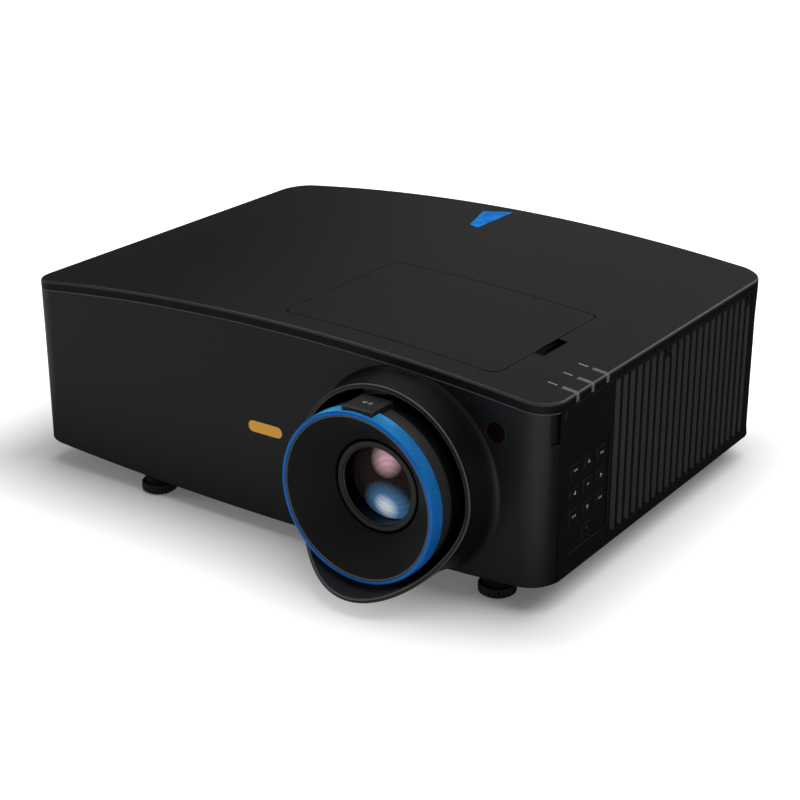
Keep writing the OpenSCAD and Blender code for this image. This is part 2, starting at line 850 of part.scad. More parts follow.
module rear_panel() color([0.09, 0.09, 0.10]) {
    difference() {
        union() {
            wall_band(rear_seam + seam_gap / 2, rear_y);
            // Bosses that carry the main board
            for (x = [board_x0 + 12, board_x1 - 12], z = [deck_z + 12, deck_z + board_h - 10])
                translate([x, rear_y - socket_d, z]) rotate([-90, 0, 0])
                    cylinder(r = post_r, h = socket_d - wall / 2);
        }
        box([plate_x0 - seat_gap, rear_y - wall - past, plate_z0 - seat_gap],
            [plate_x1 + seat_gap, rear_y + past, plate_z1 + seat_gap]);
        inlet_block(seat_gap, past);
    }
}

// Sockets on the main board: name, place along X, width, height, hollow's width and height
SOCKETS = [["hdmi_a", 62, 17, 8, 14.6, 5.2], ["hdmi_b", 36, 17, 8, 14.6, 5.2],
    ["usb", 8, 15, 8, 12.6, 5.4], ["lan", -22, 17, 14, 12.4, 9]];
socket_wall_back = 3;

module socket_block(s, grow, out) {
    box([s[1] - s[2] / 2 - grow, rear_y - socket_d, socket_z - grow],
        [s[1] + s[2] / 2 + grow, rear_y + out, socket_z + s[3] + grow]);
}

module socket(name) color([0.62, 0.62, 0.64]) {
    for (s = SOCKETS) if (s[0] == name) difference() {
        socket_block(s, 0, 0);
        box([s[1] - s[4] / 2, rear_y - socket_d + socket_wall_back, socket_z + (s[3] - s[5]) / 2],
            [s[1] + s[4] / 2, rear_y + past, socket_z + (s[3] + s[5]) / 2]);
    }
}

// Plate round the sockets, in a window of the rear panel, held by a clip at each end
plate_edge = 7.5;
plate_x0 = SOCKETS[3][1] - SOCKETS[3][2] / 2 - plate_edge;
plate_x1 = SOCKETS[0][1] + SOCKETS[0][2] / 2 + plate_edge;
plate_z0 = socket_z - plate_edge;
plate_z1 = socket_z + SOCKETS[3][3] + plate_edge;
clip_reach = 2;
clip_t = 2;
clip_inset = 8;

module connector_plate() color([0.08, 0.08, 0.085]) {
    clip_y = rear_y - wall - seat_gap;
    difference() {
        box([plate_x0, rear_y - wall, plate_z0], [plate_x1, rear_y, plate_z1]);
        for (s = SOCKETS) socket_block(s, seat_gap, past);
    }
    for (end = [[plate_x0, -1], [plate_x1, 1]]) {
        x_in = end[0] - end[1] * plate_edge / 2;
        x_out = end[0] + end[1] * clip_reach;
        box([min(x_in, x_out), clip_y - clip_t, plate_z0 + clip_inset],
            [max(x_in, x_out), clip_y, plate_z1 - clip_inset]);
        box([min(x_in, end[0]), clip_y - clip_t, plate_z0 + clip_inset],
            [max(x_in, end[0]), rear_y - wall / 2, plate_z1 - clip_inset]);
    }
}

inlet_w = 28;
inlet_h = 20;
inlet_d = 26;
module inlet_block(grow, out) {
    box([inlet_x - inlet_w / 2 - grow, rear_y - inlet_d, socket_z - grow],
        [inlet_x + inlet_w / 2 + grow, rear_y + out, socket_z + inlet_h + grow]);
}

module ac_inlet() color([0.05, 0.05, 0.05]) {
    difference() {
        union() {
            inlet_block(0, 0);
            // Clips behind the panel
            box([inlet_x - inlet_w / 2 - 2, rear_y - wall - seat_gap - 2, socket_z + 4],
                [inlet_x + inlet_w / 2 + 2, rear_y - wall - seat_gap, socket_z + inlet_h - 4]);
        }
        // Hollow with its two keyed upper corners
        along_y(rear_y - 18, rear_y + past) translate([inlet_x, socket_z + inlet_h / 2])
            polygon([[-12, -8], [12, -8], [12, 4], [8, 8], [-8, 8], [-12, 4]]);
    }
    for (x = [-7, 0, 7]) along_y(rear_y - 19, rear_y - 5)
        translate([inlet_x + x - 1, socket_z + inlet_h / 2 - (x == 0 ? 4 : -1) - 2]) square([2, 4]);
}

// ---------------------------------------------------------------- lens

// Two-sided lens of a given radius, thickness and bulge, its front edge at z
module glass(r, z, t, bulge) {
    ball = arc_radius(r, bulge);
    translate([0, 0, z]) intersection() {
        cylinder(r = r, h = t);
        translate([0, 0, ball]) sphere(ball, $fn = 160);
        translate([0, 0, t - ball]) sphere(ball, $fn = 160);
    }
}

module lens_barrel() color([0.08, 0.08, 0.085]) {
    outer = barrel_r + 2.5;
    skirt = barrel_r - barrel_t;
    body = barrel_body_r;
    at_lens() rotate_extrude($fn = 96) polygon([
        [skirt, lip_t + 0.4], [barrel_r, lip_t + 0.4], [barrel_r, shoulder_t], [outer, shoulder_t],
        [outer, shoulder_t + 12], [body, shoulder_t + 26], [body, v_plate_t], [body - 3, v_plate_t],
        [body - 3, shoulder_t + 25], [skirt, shoulder_t + 12], [skirt, web_t + 4], [tube_r, web_t + 4],
        [tube_r, barrel_len], [cell_bore_r, barrel_len], [cell_bore_r, web_t], [skirt, web_t]]);
}

module lens_hood() color([0.05, 0.05, 0.055]) {
    skirt = barrel_r - barrel_t - 0.05;
    slope = (barrel_r - 0.4 - hood_rear_r) / hood_depth;
    at_lens() rotate_extrude($fn = 96) polygon([
        [barrel_r - 0.4, 0.4], [barrel_r + 0.8, 0.4], [barrel_r + 0.8, lip_t + 0.4],
        [skirt, lip_t + 0.4], [skirt, 7], [barrel_r - 0.4 - slope * 6.6 + 2.4, 7],
        [hood_rear_r + 2.4, hood_depth + 0.4], [hood_rear_r + 2.4, hood_depth + 3],
        [hood_rear_r, hood_depth + 3], [hood_rear_r, hood_depth + 0.4]]);
}

module focus_ring() color([0.05, 0.42, 0.74]) {
    at_lens() rotate_extrude($fn = 96) polygon([
        [barrel_r + 0.9, 0], [focus_ring_r - 1.2, 0], [focus_ring_r - 0.5, 0.7],
        [focus_ring_r, focus_ring_w - 0.6], [focus_ring_r - 0.6, focus_ring_w], [ring_bore_r, focus_ring_w],
        [ring_bore_r, lip_t + 0.7], [barrel_r + 0.9, lip_t + 0.7]]);
}

module zoom_ring() color([0.10, 0.10, 0.105]) {
    z1 = zoom_ring_t + zoom_ring_w;
    lever_z0 = 3;
    lever_under = focus_ring_r + 0.4;
    lever_top = lever_under + lever_t;
    at_lens() union() {
        ring(zoom_ring_r, ring_bore_r, zoom_ring_t, z1);
        // Lever plate over the focus ring, with a bevelled front edge
        difference() {
            translate([-lever_w / 2, -lever_top, lever_z0]) cube([lever_w, lever_t + 8, z1 - lever_z0 - 0.6]);
            translate([0, 0, -past]) cylinder(r = lever_under, h = zoom_ring_t + past);
            translate([0, 0, zoom_ring_t - past])
                cylinder(r = zoom_ring_r - past, h = zoom_ring_w + 2 * past);
            translate([-lever_w, -lever_top, lever_z0]) rotate([-45, 0, 0])
                translate([0, -lever_t, -lever_t]) cube([2 * lever_w, 2 * lever_t, lever_t]);
        }
    }
}

module focus_cell() color([0.07, 0.07, 0.075]) {
    slide_r = cell_bore_r - bore_gap;
    z0 = hood_depth + 0.6;
    at_lens() rotate_extrude($fn = 96) polygon([
        [glass_r, z0], [cell_rim_r, z0], [cell_rim_r, focus_cell_t], [slide_r, focus_cell_t],
        [slide_r, focus_cell_t + cell_len], [slide_r - 3, focus_cell_t + cell_len],
        [slide_r - 3, focus_cell_t + 3], [glass_r + 1.6, focus_cell_t + 3],
        [glass_r + 1.6, z0 + 2.4], [glass_r, z0 + 2.4]]);
}

module front_glass() color([0.45, 0.55, 0.75, 0.4]) {
    at_lens() glass(glass_r + 1.5, hood_depth + 3.1, 14, 5.5);
}

module zoom_cell() color([0.07, 0.07, 0.075]) {
    slide_r = cell_bore_r - bore_gap;
    at_lens() rotate_extrude($fn = 96) polygon([
        [glass_r - 4, zoom_cell_t], [slide_r, zoom_cell_t], [slide_r, zoom_cell_t + cell_len],
        [glass_r - 2.4, zoom_cell_t + cell_len], [glass_r - 2.4, zoom_cell_t + 2],
        [glass_r - 4, zoom_cell_t + 2]]);
}

module zoom_glass() color([0.45, 0.55, 0.75, 0.4]) {
    at_lens() glass(glass_r - 2.5, zoom_cell_t + 2.1, element_t, 3.5);
}

// ---------------------------------------------------------------- lens shift

// A plate across the lens axis: half width, half height, place along the axis, opening
module shift_plate(hw, hh, t, hole) {
    difference() {
        translate([-hw, -hh, t]) cube([2 * hw, 2 * hh, plate_t]);
        translate([0, 0, t - past]) cylinder(r = hole, h = plate_t + 2 * past);
    }
}

// Block between two plates, centred on x and z (z up), between two places along the axis
module lug_block(x, z, w, h, t0, t1) {
    translate([x - w / 2, -z - h / 2, t0]) cube([w, h, t1 - t0]);
}

// Bore through the shift parts along X or Z, drawn round the lens axis
module bore_x(z, t, r) {
    translate([-200, -z, t]) rotate([0, 90, 0]) cylinder(r = r, h = 400);
}
module bore_z(x, t, r) {
    translate([x, 200, t]) rotate([90, 0, 0]) cylinder(r = r, h = 400);
}

module vertical_carriage() color([0.55, 0.56, 0.58]) {
    at_lens() difference() {
        union() {
            shift_plate(v_plate_w, v_plate_h, v_plate_t, tube_r + 0.1);
            for (x = [-rail_off, rail_off])
                lug_block(x, 0, 2 * lug, 26, v_plate_t + plate_t - past / 2, h_plate_t - seat_gap);
            lug_block(-v_screw_x, 0, 8, 12, v_plate_t + plate_t - past / 2, h_plate_t - seat_gap);
        }
        cylinder(r = tube_r + 0.1, h = 200);
        for (x = [-rail_off, rail_off]) bore_z(x, v_rail_t, rail_r + running_gap);
        bore_z(-v_screw_x, v_rail_t, screw_r + running_gap);
    }
}

module horizontal_carriage() color([0.50, 0.51, 0.53]) {
    ear_z = 13 + v_shift + 6;
    at_lens() difference() {
        union() {
            shift_plate(v_plate_w, h_plate_h, h_plate_t, tube_r + v_shift + shift_gap);
            for (x = [-rail_off, rail_off], z = [-ear_z, ear_z])
                lug_block(x, z, 2 * lug, 8, v_plate_t + plate_t + seat_gap, h_plate_t + past / 2);
            lug_block(-v_screw_x, ear_z, 8, 8, v_plate_t + plate_t + seat_gap, h_plate_t + past / 2);
            for (z = [-cross_rail_off, cross_rail_off])
                lug_block(0, z, 26, cross_lug_h, h_plate_t + plate_t - past / 2, frame_t - seat_gap);
            lug_block(0, h_screw_z, 14, screw_lug_h, h_plate_t + plate_t - past / 2, frame_t - seat_gap);
        }
        for (x = [-rail_off, rail_off])
            bore_z(x, v_rail_t, rail_r);
        bore_z(-v_screw_x, v_rail_t, screw_r + running_gap);
        for (z = [-cross_rail_off, cross_rail_off]) bore_x(z, h_rail_t, rail_r + running_gap);
        bore_x(h_screw_z, h_rail_t, screw_r + running_gap);
    }
}

module vertical_rails() color([0.75, 0.76, 0.78]) {
    ear_z = 13 + v_shift + 6;
    at_lens() for (x = [-rail_off, rail_off])
        translate([x, ear_z + 4, v_rail_t]) rotate([90, 0, 0]) cylinder(r = rail_r, h = 2 * ear_z + 8);
}

module horizontal_rails() color([0.75, 0.76, 0.78]) {
    ear_x = 13 + h_shift + 10;
    at_lens() for (z = [-cross_rail_off, cross_rail_off])
        translate([-ear_x - 5, z, h_rail_t]) rotate([0, 90, 0]) cylinder(r = rail_r, h = 2 * ear_x + 10);
}

module shift_frame() color([0.45, 0.46, 0.48]) {
    ear_x = 13 + h_shift + 10;
    at_lens() difference() {
        union() {
            shift_plate(v_plate_w + 1, h_plate_h, frame_t, tube_r + v_shift + shift_gap);
            for (x = [-ear_x, ear_x], z = [-cross_rail_off, cross_rail_off])
                lug_block(x, z, 10, cross_lug_h, h_plate_t + plate_t + seat_gap, frame_t + past / 2);
            lug_block(-v_plate_w + 3, h_screw_z, 8, screw_lug_h, h_plate_t + plate_t + seat_gap,
                frame_t + past / 2);
        }
        for (z = [-cross_rail_off, cross_rail_off]) bore_x(z, h_rail_t, rail_r);
        bore_x(h_screw_z, h_rail_t, screw_r + running_gap);
    }
}

// Grooves round a knob of radius r, drawn on +Z
module grips(r, n, depth, z0, h) {
    for (i = [0:n - 1]) rotate([0, 0, i * 360 / n]) translate([r, 0, z0]) cylinder(r = depth, h = h);
}

module vertical_shift_knob() color([0.12, 0.12, 0.12]) {
    ear_z = 13 + v_shift + 6;
    low = lens_z - 13 - v_shift;
    translate([lens_x - v_screw_x, ring_y + v_rail_t, 0]) {
        translate([0, 0, low]) cylinder(r = screw_r, h = well_z - low);
        // Collar that rests on the carriage's ear
        translate([0, 0, lens_z + ear_z + 4 + seat_gap])
            cylinder(r = 3.4, h = well_z + 1 - lens_z - ear_z - 4);
        difference() {
            translate([0, 0, well_z + 0.6]) cylinder(r = v_knob_r, h = v_knob_h);
            grips(v_knob_r, 12, 1.6, well_z, v_knob_h + 2);
        }
    }
}

module horizontal_shift_wheel() color([0.12, 0.12, 0.12]) {
    translate([0, ring_y + h_rail_t, lens_z + h_screw_z]) rotate([0, 90, 0]) {
        translate([0, 0, lens_x - h_wheel_x + h_wheel_w / 2])
            cylinder(r = screw_r, h = h_wheel_x + h_shift + 3);
        // Shoulder that rests against the frame's ear
        translate([0, 0, lens_x - h_wheel_x + h_wheel_w - past])
            cylinder(r = 3, h = h_wheel_x - h_wheel_w - v_plate_w - 1 + past - seat_gap);
        difference() {
            translate([0, 0, lens_x - h_wheel_x]) cylinder(r = h_wheel_r, h = h_wheel_w);
            grips(h_wheel_r, 16, 1.6, lens_x - h_wheel_x - past, h_wheel_w + 2 * past);
        }
    }
}

// ---------------------------------------------------------------- inner units

module light_engine() color([0.42, 0.43, 0.45]) {
    difference() {
        box([engine_x, engine_y, deck_z], [engine_x + engine_w, engine_y + engine_d, deck_z + engine_h]);
        box([engine_x + engine_wall, engine_y + engine_wall, deck_z + engine_wall],
            [engine_x + engine_w - engine_wall, engine_y + engine_d - engine_wall,
                deck_z + engine_h - engine_wall]);
        at_lens() cylinder(r = tube_r + v_shift + shift_gap, h = engine_t + engine_wall + past);
        // Light tunnel from the laser module
        translate([engine_x - past, laser_y + laser_d / 2, deck_z + laser_h / 2]) rotate([0, 90, 0])
            cylinder(r = 14, h = engine_wall + 2 * past);
        // Window to the imaging chip
        translate([lens_x - 14, engine_y + engine_d - engine_wall - past, lens_z - 10])
            cube([28, engine_wall + 2 * past, 20]);
    }
}

module dmd_board() color([0.05, 0.22, 0.12]) {
    y = engine_y + engine_d;
    difference() {
        box([lens_x - dmd_w / 2, y, lens_z - dmd_h / 2],
            [lens_x + dmd_w / 2, y + board_t, lens_z + dmd_h / 2]);
        for (x = [-1, 1], z = [-1, 1])
            translate([lens_x + x * (dmd_w / 2 - 6), y - past, lens_z + z * (dmd_h / 2 - 6)])
                rotate([-90, 0, 0]) cylinder(r = 1.6, h = board_t + 2 * past);
    }
}

// A block with fins: base at z = 0, fins upwards and running along Y
module finned(w, d, h, n, fin) {
    cube([w, d, 4]);
    for (i = [0:n - 1]) translate([i * (w - fin) / (n - 1), 0, 0]) cube([fin, d, h]);
}

module dmd_heatsink() color([0.70, 0.71, 0.73]) {
    translate([lens_x - dmd_w / 2 + 8, engine_y + engine_d + board_t, lens_z + dmd_h / 2 - 12])
        rotate([-90, 0, 0]) finned(dmd_w - 16, dmd_h - 20, dmd_sink_d, 15, 1.4);
}

module laser_module() color([0.60, 0.48, 0.30]) {
    difference() {
        box([laser_x, laser_y, deck_z], [laser_x + laser_w, laser_y + laser_d, deck_z + laser_h]);
        translate([laser_x + laser_w - 20, laser_y + laser_d / 2, deck_z + laser_h / 2]) rotate([0, 90, 0])
            cylinder(r = 14, h = 20 + past);
        // Grooves for the heat pipes
        for (y = PIPES) translate([laser_x - past, laser_y + y, deck_z + laser_h])
            rotate([0, 90, 0]) cylinder(r = heat_pipe_r + 0.15, h = laser_w + 2 * past);
    }
}

heat_pipe_r = 3;
PIPES = [10, 24.5, 39, 53.5];

module heat_pipes() color([0.72, 0.40, 0.24]) {
    x0 = sink_x + 3;
    x1 = laser_x + laser_w - 6;
    for (y = PIPES) translate([x0, laser_y + y, deck_z + laser_h]) rotate([0, 90, 0]) {
        cylinder(r = heat_pipe_r, h = x1 - x0);
        translate([0, 0, x1 - x0]) sphere(heat_pipe_r);
    }
}

module laser_heatsink() color([0.70, 0.71, 0.73]) {
    fins = 24;
    fin = 1.2;
    difference() {
        union() {
            for (i = [0:fins - 1])
                translate([sink_x + i * (sink_w - fin) / (fins - 1), sink_y, deck_z])
                    cube([fin, sink_d, sink_h]);
            translate([sink_x, sink_y, deck_z]) cube([sink_w, sink_d, 3]);
        }
        for (y = PIPES) translate([sink_x - past, laser_y + y, deck_z + laser_h])
            rotate([0, 90, 0]) cylinder(r = heat_pipe_r + 0.1, h = sink_w + 2 * past);
    }
}

// Phosphor wheel, on a motor in front of the laser module
wheel_x = laser_x + laser_w / 2;
wheel_y = laser_y - 16;
wheel_z = deck_z + phosphor_r + 6;

module phosphor_wheel() color([0.85, 0.80, 0.30]) {
    translate([wheel_x, wheel_y, wheel_z]) rotate([90, 0, 0]) {
        ring(phosphor_r, 9, 0, 1.2);
        difference() {
            translate([0, 0, -3]) cylinder(r = 10, h = 6);
            translate([0, 0, -3 - past]) cylinder(r = 1.5 + running_gap, h = 6 + 2 * past);
        }
    }
}

module phosphor_motor() color([0.20, 0.20, 0.21]) {
    translate([wheel_x, wheel_y + 3 + seat_gap, wheel_z]) rotate([-90, 0, 0]) {
        cylinder(r = 13, h = 12 - 3 - seat_gap);
        translate([0, 0, -6]) cylinder(r = 1.5, h = 8);
    }
    // Bracket: plate against the laser module, foot on the tray
    box([wheel_x - 20, laser_y - 4, deck_z], [wheel_x + 20, laser_y, wheel_z + 16]);
}

module main_board() color([0.05, 0.22, 0.12]) {
    difference() {
        box([board_x0, board_y, deck_z], [board_x1, board_y + board_t, deck_z + board_h]);
        for (x = [board_x0 + 12, board_x1 - 12], z = [deck_z + 12, deck_z + board_h - 10])
            translate([x, board_y - past, z]) rotate([-90, 0, 0]) cylinder(r = 1.6, h = board_t + 2 * past);
    }
    // Processor, memory and connectors on the board's inner side
    for (c = CHIPS) box([c[0] - c[2] / 2, board_y - c[4], deck_z + c[1] - c[3] / 2],
        [c[0] + c[2] / 2, board_y + board_t / 2, deck_z + c[1] + c[3] / 2]);
}
CHIPS = [[20, 52, 34, 34, 3], [62, 60, 14, 10, 1.4], [62, 42, 14, 10, 1.4], [-40, 58, 22, 22, 2],
    [110, 30, 40, 8, 9], [-70, 24, 26, 8, 9]];

module power_supply() color([0.62, 0.63, 0.62]) {
    difference() {
        box([supply_x, supply_y, deck_z], [supply_x + supply_w, supply_y + supply_d, deck_z + supply_h]);
        box([supply_x + 1.5, supply_y + 1.5, deck_z + 1.5],
            [supply_x + supply_w - 1.5, supply_y + supply_d - 1.5, deck_z + supply_h + past]);
    }
    // Board, transformer and capacitors inside the cage
    box([supply_x + 1, supply_y + 1, deck_z + 6],
        [supply_x + supply_w - 1, supply_y + supply_d - 1, deck_z + 6 + board_t]);
    for (y = [30, 75])
        box([supply_x + 14, supply_y + y, deck_z + 7], [supply_x + 50, supply_y + y + 34, deck_z + 38]);
    for (y = [24, 50, 76]) translate([supply_x + 72, supply_y + y, deck_z + 7]) cylinder(r = 10, h = 32);
    box([supply_x + 14, supply_y + 125, deck_z + 7], [supply_x + 80, supply_y + 160, deck_z + 30]);
}

// ---------------------------------------------------------------- fans

// Moves a fan drawn round +Z to a side wall: +Z then points inwards
module at_fan(side, y) {
    translate([side * (fan_x + fan_t), y, deck_z + fan_size / 2]) rotate([0, -90 * side, 0]) children();
}

module fan_frame() {
    difference() {
        translate([-fan_size / 2, -fan_size / 2, 0]) cube([fan_size, fan_size, fan_t]);
        translate([0, 0, -past]) cylinder(r = fan_r, h = fan_t + 2 * past);
        for (x = [-1, 1], y = [-1, 1]) translate([x * (fan_size / 2 - 5), y * (fan_size / 2 - 5), -past])
            cylinder(r = 2.2, h = fan_t + 2 * past);
    }
    difference() {
        union() {
            translate([0, 0, fan_t - fan_base_t]) cylinder(r = fan_hub_r, h = fan_base_t);
            translate([0, 0, fan_t - fan_base_t - 8]) cylinder(r = 4, h = 9);
            intersection() {
                for (a = [0:90:270]) rotate([0, 0, a])
                    translate([0, -2, fan_t - fan_base_t]) cube([fan_r + 1, 4, fan_base_t]);
                cylinder(r = fan_r + 0.5, h = fan_t);
            }
        }
        translate([0, 0, -past]) cylinder(r = fan_shaft_r + running_gap, h = fan_t - 2);
    }
}

module fan_rotor(blades = 7) color([0.12, 0.12, 0.13]) {
    hub_h = fan_t - fan_base_t - seat_gap - 1;
    difference() {
        translate([0, 0, 1]) cylinder(r = fan_hub_r, h = hub_h);
        translate([0, 0, 3]) cylinder(r = fan_hub_r - 2, h = hub_h);
    }
    translate([0, 0, 2]) cylinder(r = fan_shaft_r, h = fan_t - 5 - seat_gap);
    intersection() {
        for (i = [0:blades - 1]) rotate([0, 0, i * 360 / blades])
            translate([fan_hub_r - 1, 0, fan_t / 2 - 2]) rotate([38, 0, 0])
                translate([0, -13, -0.8]) cube([fan_r, 26, 1.6]);
        ring(fan_r - 1.2, fan_hub_r - 1, 2, fan_t - fan_base_t - 1.5);
    }
}

module fan_frames() color([0.10, 0.10, 0.10]) {
    at_fan(1, intake_fan_y) fan_frame();
    at_fan(-1, exhaust_fan_a_y) fan_frame();
    at_fan(-1, exhaust_fan_b_y) fan_frame();
}

// ---------------------------------------------------------------- feet and screws

// Knurled ring with its neck and screw; the rubber pad's pin turns in its underside
module foot() color([0.07, 0.07, 0.07]) {
    difference() {
        union() {
            difference() {
                translate([0, 0, pad_t]) cylinder(r = foot_r, h = foot_h);
                grips(foot_r + 0.5, 24, 1.3, 0, foot_h + pad_t + past);
                translate([0, 0, pad_t + foot_floor]) cylinder(r = neck_r + dish_gap, h = foot_h);
            }
            translate([0, 0, pad_t]) cylinder(r = stud_r, h = deck_z + 8);
        }
        translate([0, 0, -past]) cylinder(r = 2 + running_gap, h = pad_t + 5 + past);
    }
}

module foot_pad() color([0.04, 0.04, 0.04]) {
    cylinder(r = foot_r - 2.5, h = pad_t - 0.1);
    cylinder(r = 2, h = pad_t + 4.5);
}

module rear_feet() color([0.05, 0.05, 0.05]) {
    difference() {
        for (f = FEET_REAR) translate([f[0], f[1], 0]) {
            cylinder(r = neck_r, h = ride_h);
            cylinder(r = foot_r, h = pad_t + foot_h / 2);
        }
        along_y(front_y, rear_y) translate([0, under_cz]) circle(under_r + 0.1, $fn = arc_fn);
    }
}

module cover_screws() color([0.25, 0.25, 0.26]) {
    side_screw_places() difference() {
        union() {
            translate([0, 0, 0.4]) cylinder(r = screw_head_r, h = 0.9);
            translate([0, 0, 1]) cylinder(r = 1.5, h = wall + 3);
        }
        for (a = [0, 90]) rotate([0, 0, a]) translate([-1.6, -0.3, 0]) cube([3.2, 0.6, 0.9]);
    }
}

// ---------------------------------------------------------------- output

base_tray();
top_cover();
front_cover();
right_side_cover();
left_side_cover();
rear_panel();
connector_plate();
shift_door();
indicator_light_pipes();
ir_window();
keypad_board();
key("key_menu");  // key_menu
key("key_up");  // key_up
key("key_auto");  // key_auto
key("key_left");  // key_left
key("key_ok");  // key_ok
key("key_right");  // key_right
key("key_back");  // key_back
key("key_down");  // key_down
key("key_source");  // key_source
key("key_power");  // key_power
lens_barrel();
lens_hood();
focus_ring();
focus_cell();
front_glass();
zoom_ring();
zoom_cell();
zoom_glass();
shift_frame();
horizontal_carriage();
vertical_carriage();
horizontal_rails();
vertical_rails();
horizontal_shift_wheel();
vertical_shift_knob();
light_engine();
dmd_board();
dmd_heatsink();
phosphor_wheel();
phosphor_motor();
laser_module();
laser_heatsink();
heat_pipes();
main_board();
power_supply();
ac_inlet();
union() { socket("hdmi_a"); socket("hdmi_b"); }  // hdmi_sockets
socket("lan");  // lan_socket
socket("usb");  // usb_socket
fan_frames();
at_fan(1, intake_fan_y) fan_rotor();  // intake_fan_rotor
at_fan(-1, exhaust_fan_a_y) fan_rotor();  // exhaust_fan_rotor_a
at_fan(-1, exhaust_fan_b_y) fan_rotor();  // exhaust_fan_rotor_b
translate([left_foot_x, front_y + left_foot_y, 0]) foot();  // left_foot
translate([left_foot_x, front_y + left_foot_y, 0]) foot_pad();  // left_foot_pad
translate([right_foot_x, front_y + right_foot_y, 0]) foot();  // right_foot
translate([right_foot_x, front_y + right_foot_y, 0]) foot_pad();  // right_foot_pad
rear_feet();
cover_screws();
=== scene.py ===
from math import acos, asin, atan2, ceil, cos, hypot, pi, radians, sin, sqrt, tan

import bpy
from mathutils import Matrix, Vector
from mathutils.geometry import delaunay_2d_cdt


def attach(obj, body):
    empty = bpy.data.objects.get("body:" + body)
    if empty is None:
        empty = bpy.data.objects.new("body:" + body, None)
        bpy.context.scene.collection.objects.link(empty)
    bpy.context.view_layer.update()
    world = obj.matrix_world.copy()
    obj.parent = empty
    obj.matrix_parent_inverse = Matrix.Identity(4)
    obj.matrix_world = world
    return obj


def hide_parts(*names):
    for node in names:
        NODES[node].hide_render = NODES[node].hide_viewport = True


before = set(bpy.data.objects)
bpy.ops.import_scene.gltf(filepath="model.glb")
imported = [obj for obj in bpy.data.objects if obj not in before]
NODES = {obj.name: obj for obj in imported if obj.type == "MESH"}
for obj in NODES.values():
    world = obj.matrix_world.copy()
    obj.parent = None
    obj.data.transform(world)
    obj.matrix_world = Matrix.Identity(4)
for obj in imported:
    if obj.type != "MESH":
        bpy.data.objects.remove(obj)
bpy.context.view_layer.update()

# Sizes in millimetres, the same named values as the part's source. SKIN keeps the
# covers a hair inside their solids, so that marks can lie on them.
MM = 0.001
SKIN = 0.1
HALF_W, BODY_D, SIDE_H, RIDE = 245.0, 354.0, 138.5, 22.0
TOP_CROWN, UNDER_CROWN, CORNER_R = 15.8, 9.4, 22.5
FRONT_Y, REAR_Y = -140.5, 213.5
SEAM_DROP, SEAM_GAP = 7.0, 0.4
LENS_X, LENS_Z, RING_Y = 125.6, 85.7, -199.5
LOUVRE_Y, LOUVRE_Z, LOUVRE_H, LOUVRE_N, LOUVRE_PITCH = -46.0, 30.0, 121.0, 21, 11.05
DOOR_X, DOOR_X1, DOOR_Y, DOOR_Y1, WELL_Z = 1.7, 187.7, -117.5, 27.5, 150.0
KEY_Y, KEY_Z, KEY_DY, KEY_DZ = -80.7, 83.4, 19.0, 17.9
POCKET_Y = -130.5
SEAM_FRONT, SEAM_REAR = FRONT_Y + 17.5, REAR_Y - 20.0


def arc_radius(half, rise):
    return (half * half + rise * rise) / (2 * rise)


TOP_R = arc_radius(HALF_W, TOP_CROWN)
UNDER_R = arc_radius(HALF_W, UNDER_CROWN)
TOP_C = RIDE + SIDE_H + TOP_CROWN - TOP_R
UNDER_C = RIDE - UNDER_CROWN + UNDER_R


def top_z(x):
    return TOP_C - SKIN + sqrt(TOP_R ** 2 - x * x)


def under_z(x):
    return UNDER_C + SKIN - sqrt(UNDER_R ** 2 - x * x)


def seam_z(x):
    return top_z(x) - SEAM_DROP - SEAM_GAP


# ---- materials


class Graph:
    """Adds shader nodes to a tree. An input takes a number, a colour or another node's socket."""

    def __init__(self, tree):
        self.nodes, self.links = tree.nodes, tree.links

    def put(self, node, inputs):
        for key, value in inputs.items():
            if isinstance(value, bpy.types.NodeSocket):
                self.links.new(value, node.inputs[key])
            else:
                node.inputs[key].default_value = value
        return node

    def add(self, kind, inputs, **settings):
        node = self.nodes.new("ShaderNode" + kind)
        for key, value in settings.items():
            setattr(node, key, value)
        return self.put(node, inputs)

    def place(self):
        return self.add("TexCoord", {}).outputs["Object"]

    def noise(self, scale, detail=2.0, vector=None):
        vector = self.place() if vector is None else vector
        return self.add("TexNoise", {"Scale": scale, "Detail": detail, "Vector": vector}).outputs["Fac"]

    def math(self, operation, *values):
        return self.add("Math", dict(enumerate(values)), operation=operation).outputs[0]

    def length(self, a, b):
        squares = [self.math("MULTIPLY", v, v) for v in (a, b)]
        return self.math("POWER", self.math("ADD", *squares), 0.5)

    def ranged(self, source, low, high, lo_in=0.3, hi_in=0.7):
        inputs = {"Value": source, "From Min": lo_in, "From Max": hi_in, "To Min": low, "To Max": high}
        return self.add("MapRange", inputs).outputs["Result"]

    def mixed(self, factor, a, b):
        return self.add("Mix", {"Factor": factor, "A": a, "B": b}, data_type="RGBA").outputs["Result"]

    def ramp(self, source, low, high, span):
        node = self.add("ValToRGB", {"Fac": source})
        for element, colour, position in zip(node.color_ramp.elements, (low, high), span):
            element.color = (*colour, 1)
            element.position = position
        return node.outputs["Color"]

    def bump(self, height, strength):
        inputs = {"Height": height, "Strength": strength, "Distance": 0.0002}
        return self.add("Bump", inputs).outputs["Normal"]

    def mirror_ray(self, path):
        """1 for a ray that was mirrored or passed through glass"""
        return self.math("MAXIMUM", path.outputs["Is Glossy Ray"], path.outputs["Is Transmission Ray"])


def new_mat(name):
    m = bpy.data.materials.new(name)
    m.use_nodes = True
    return m, Graph(m.node_tree), m.node_tree.nodes["Principled BSDF"]


def shade(colour, level):
    return (*[c * level for c in colour], 1)


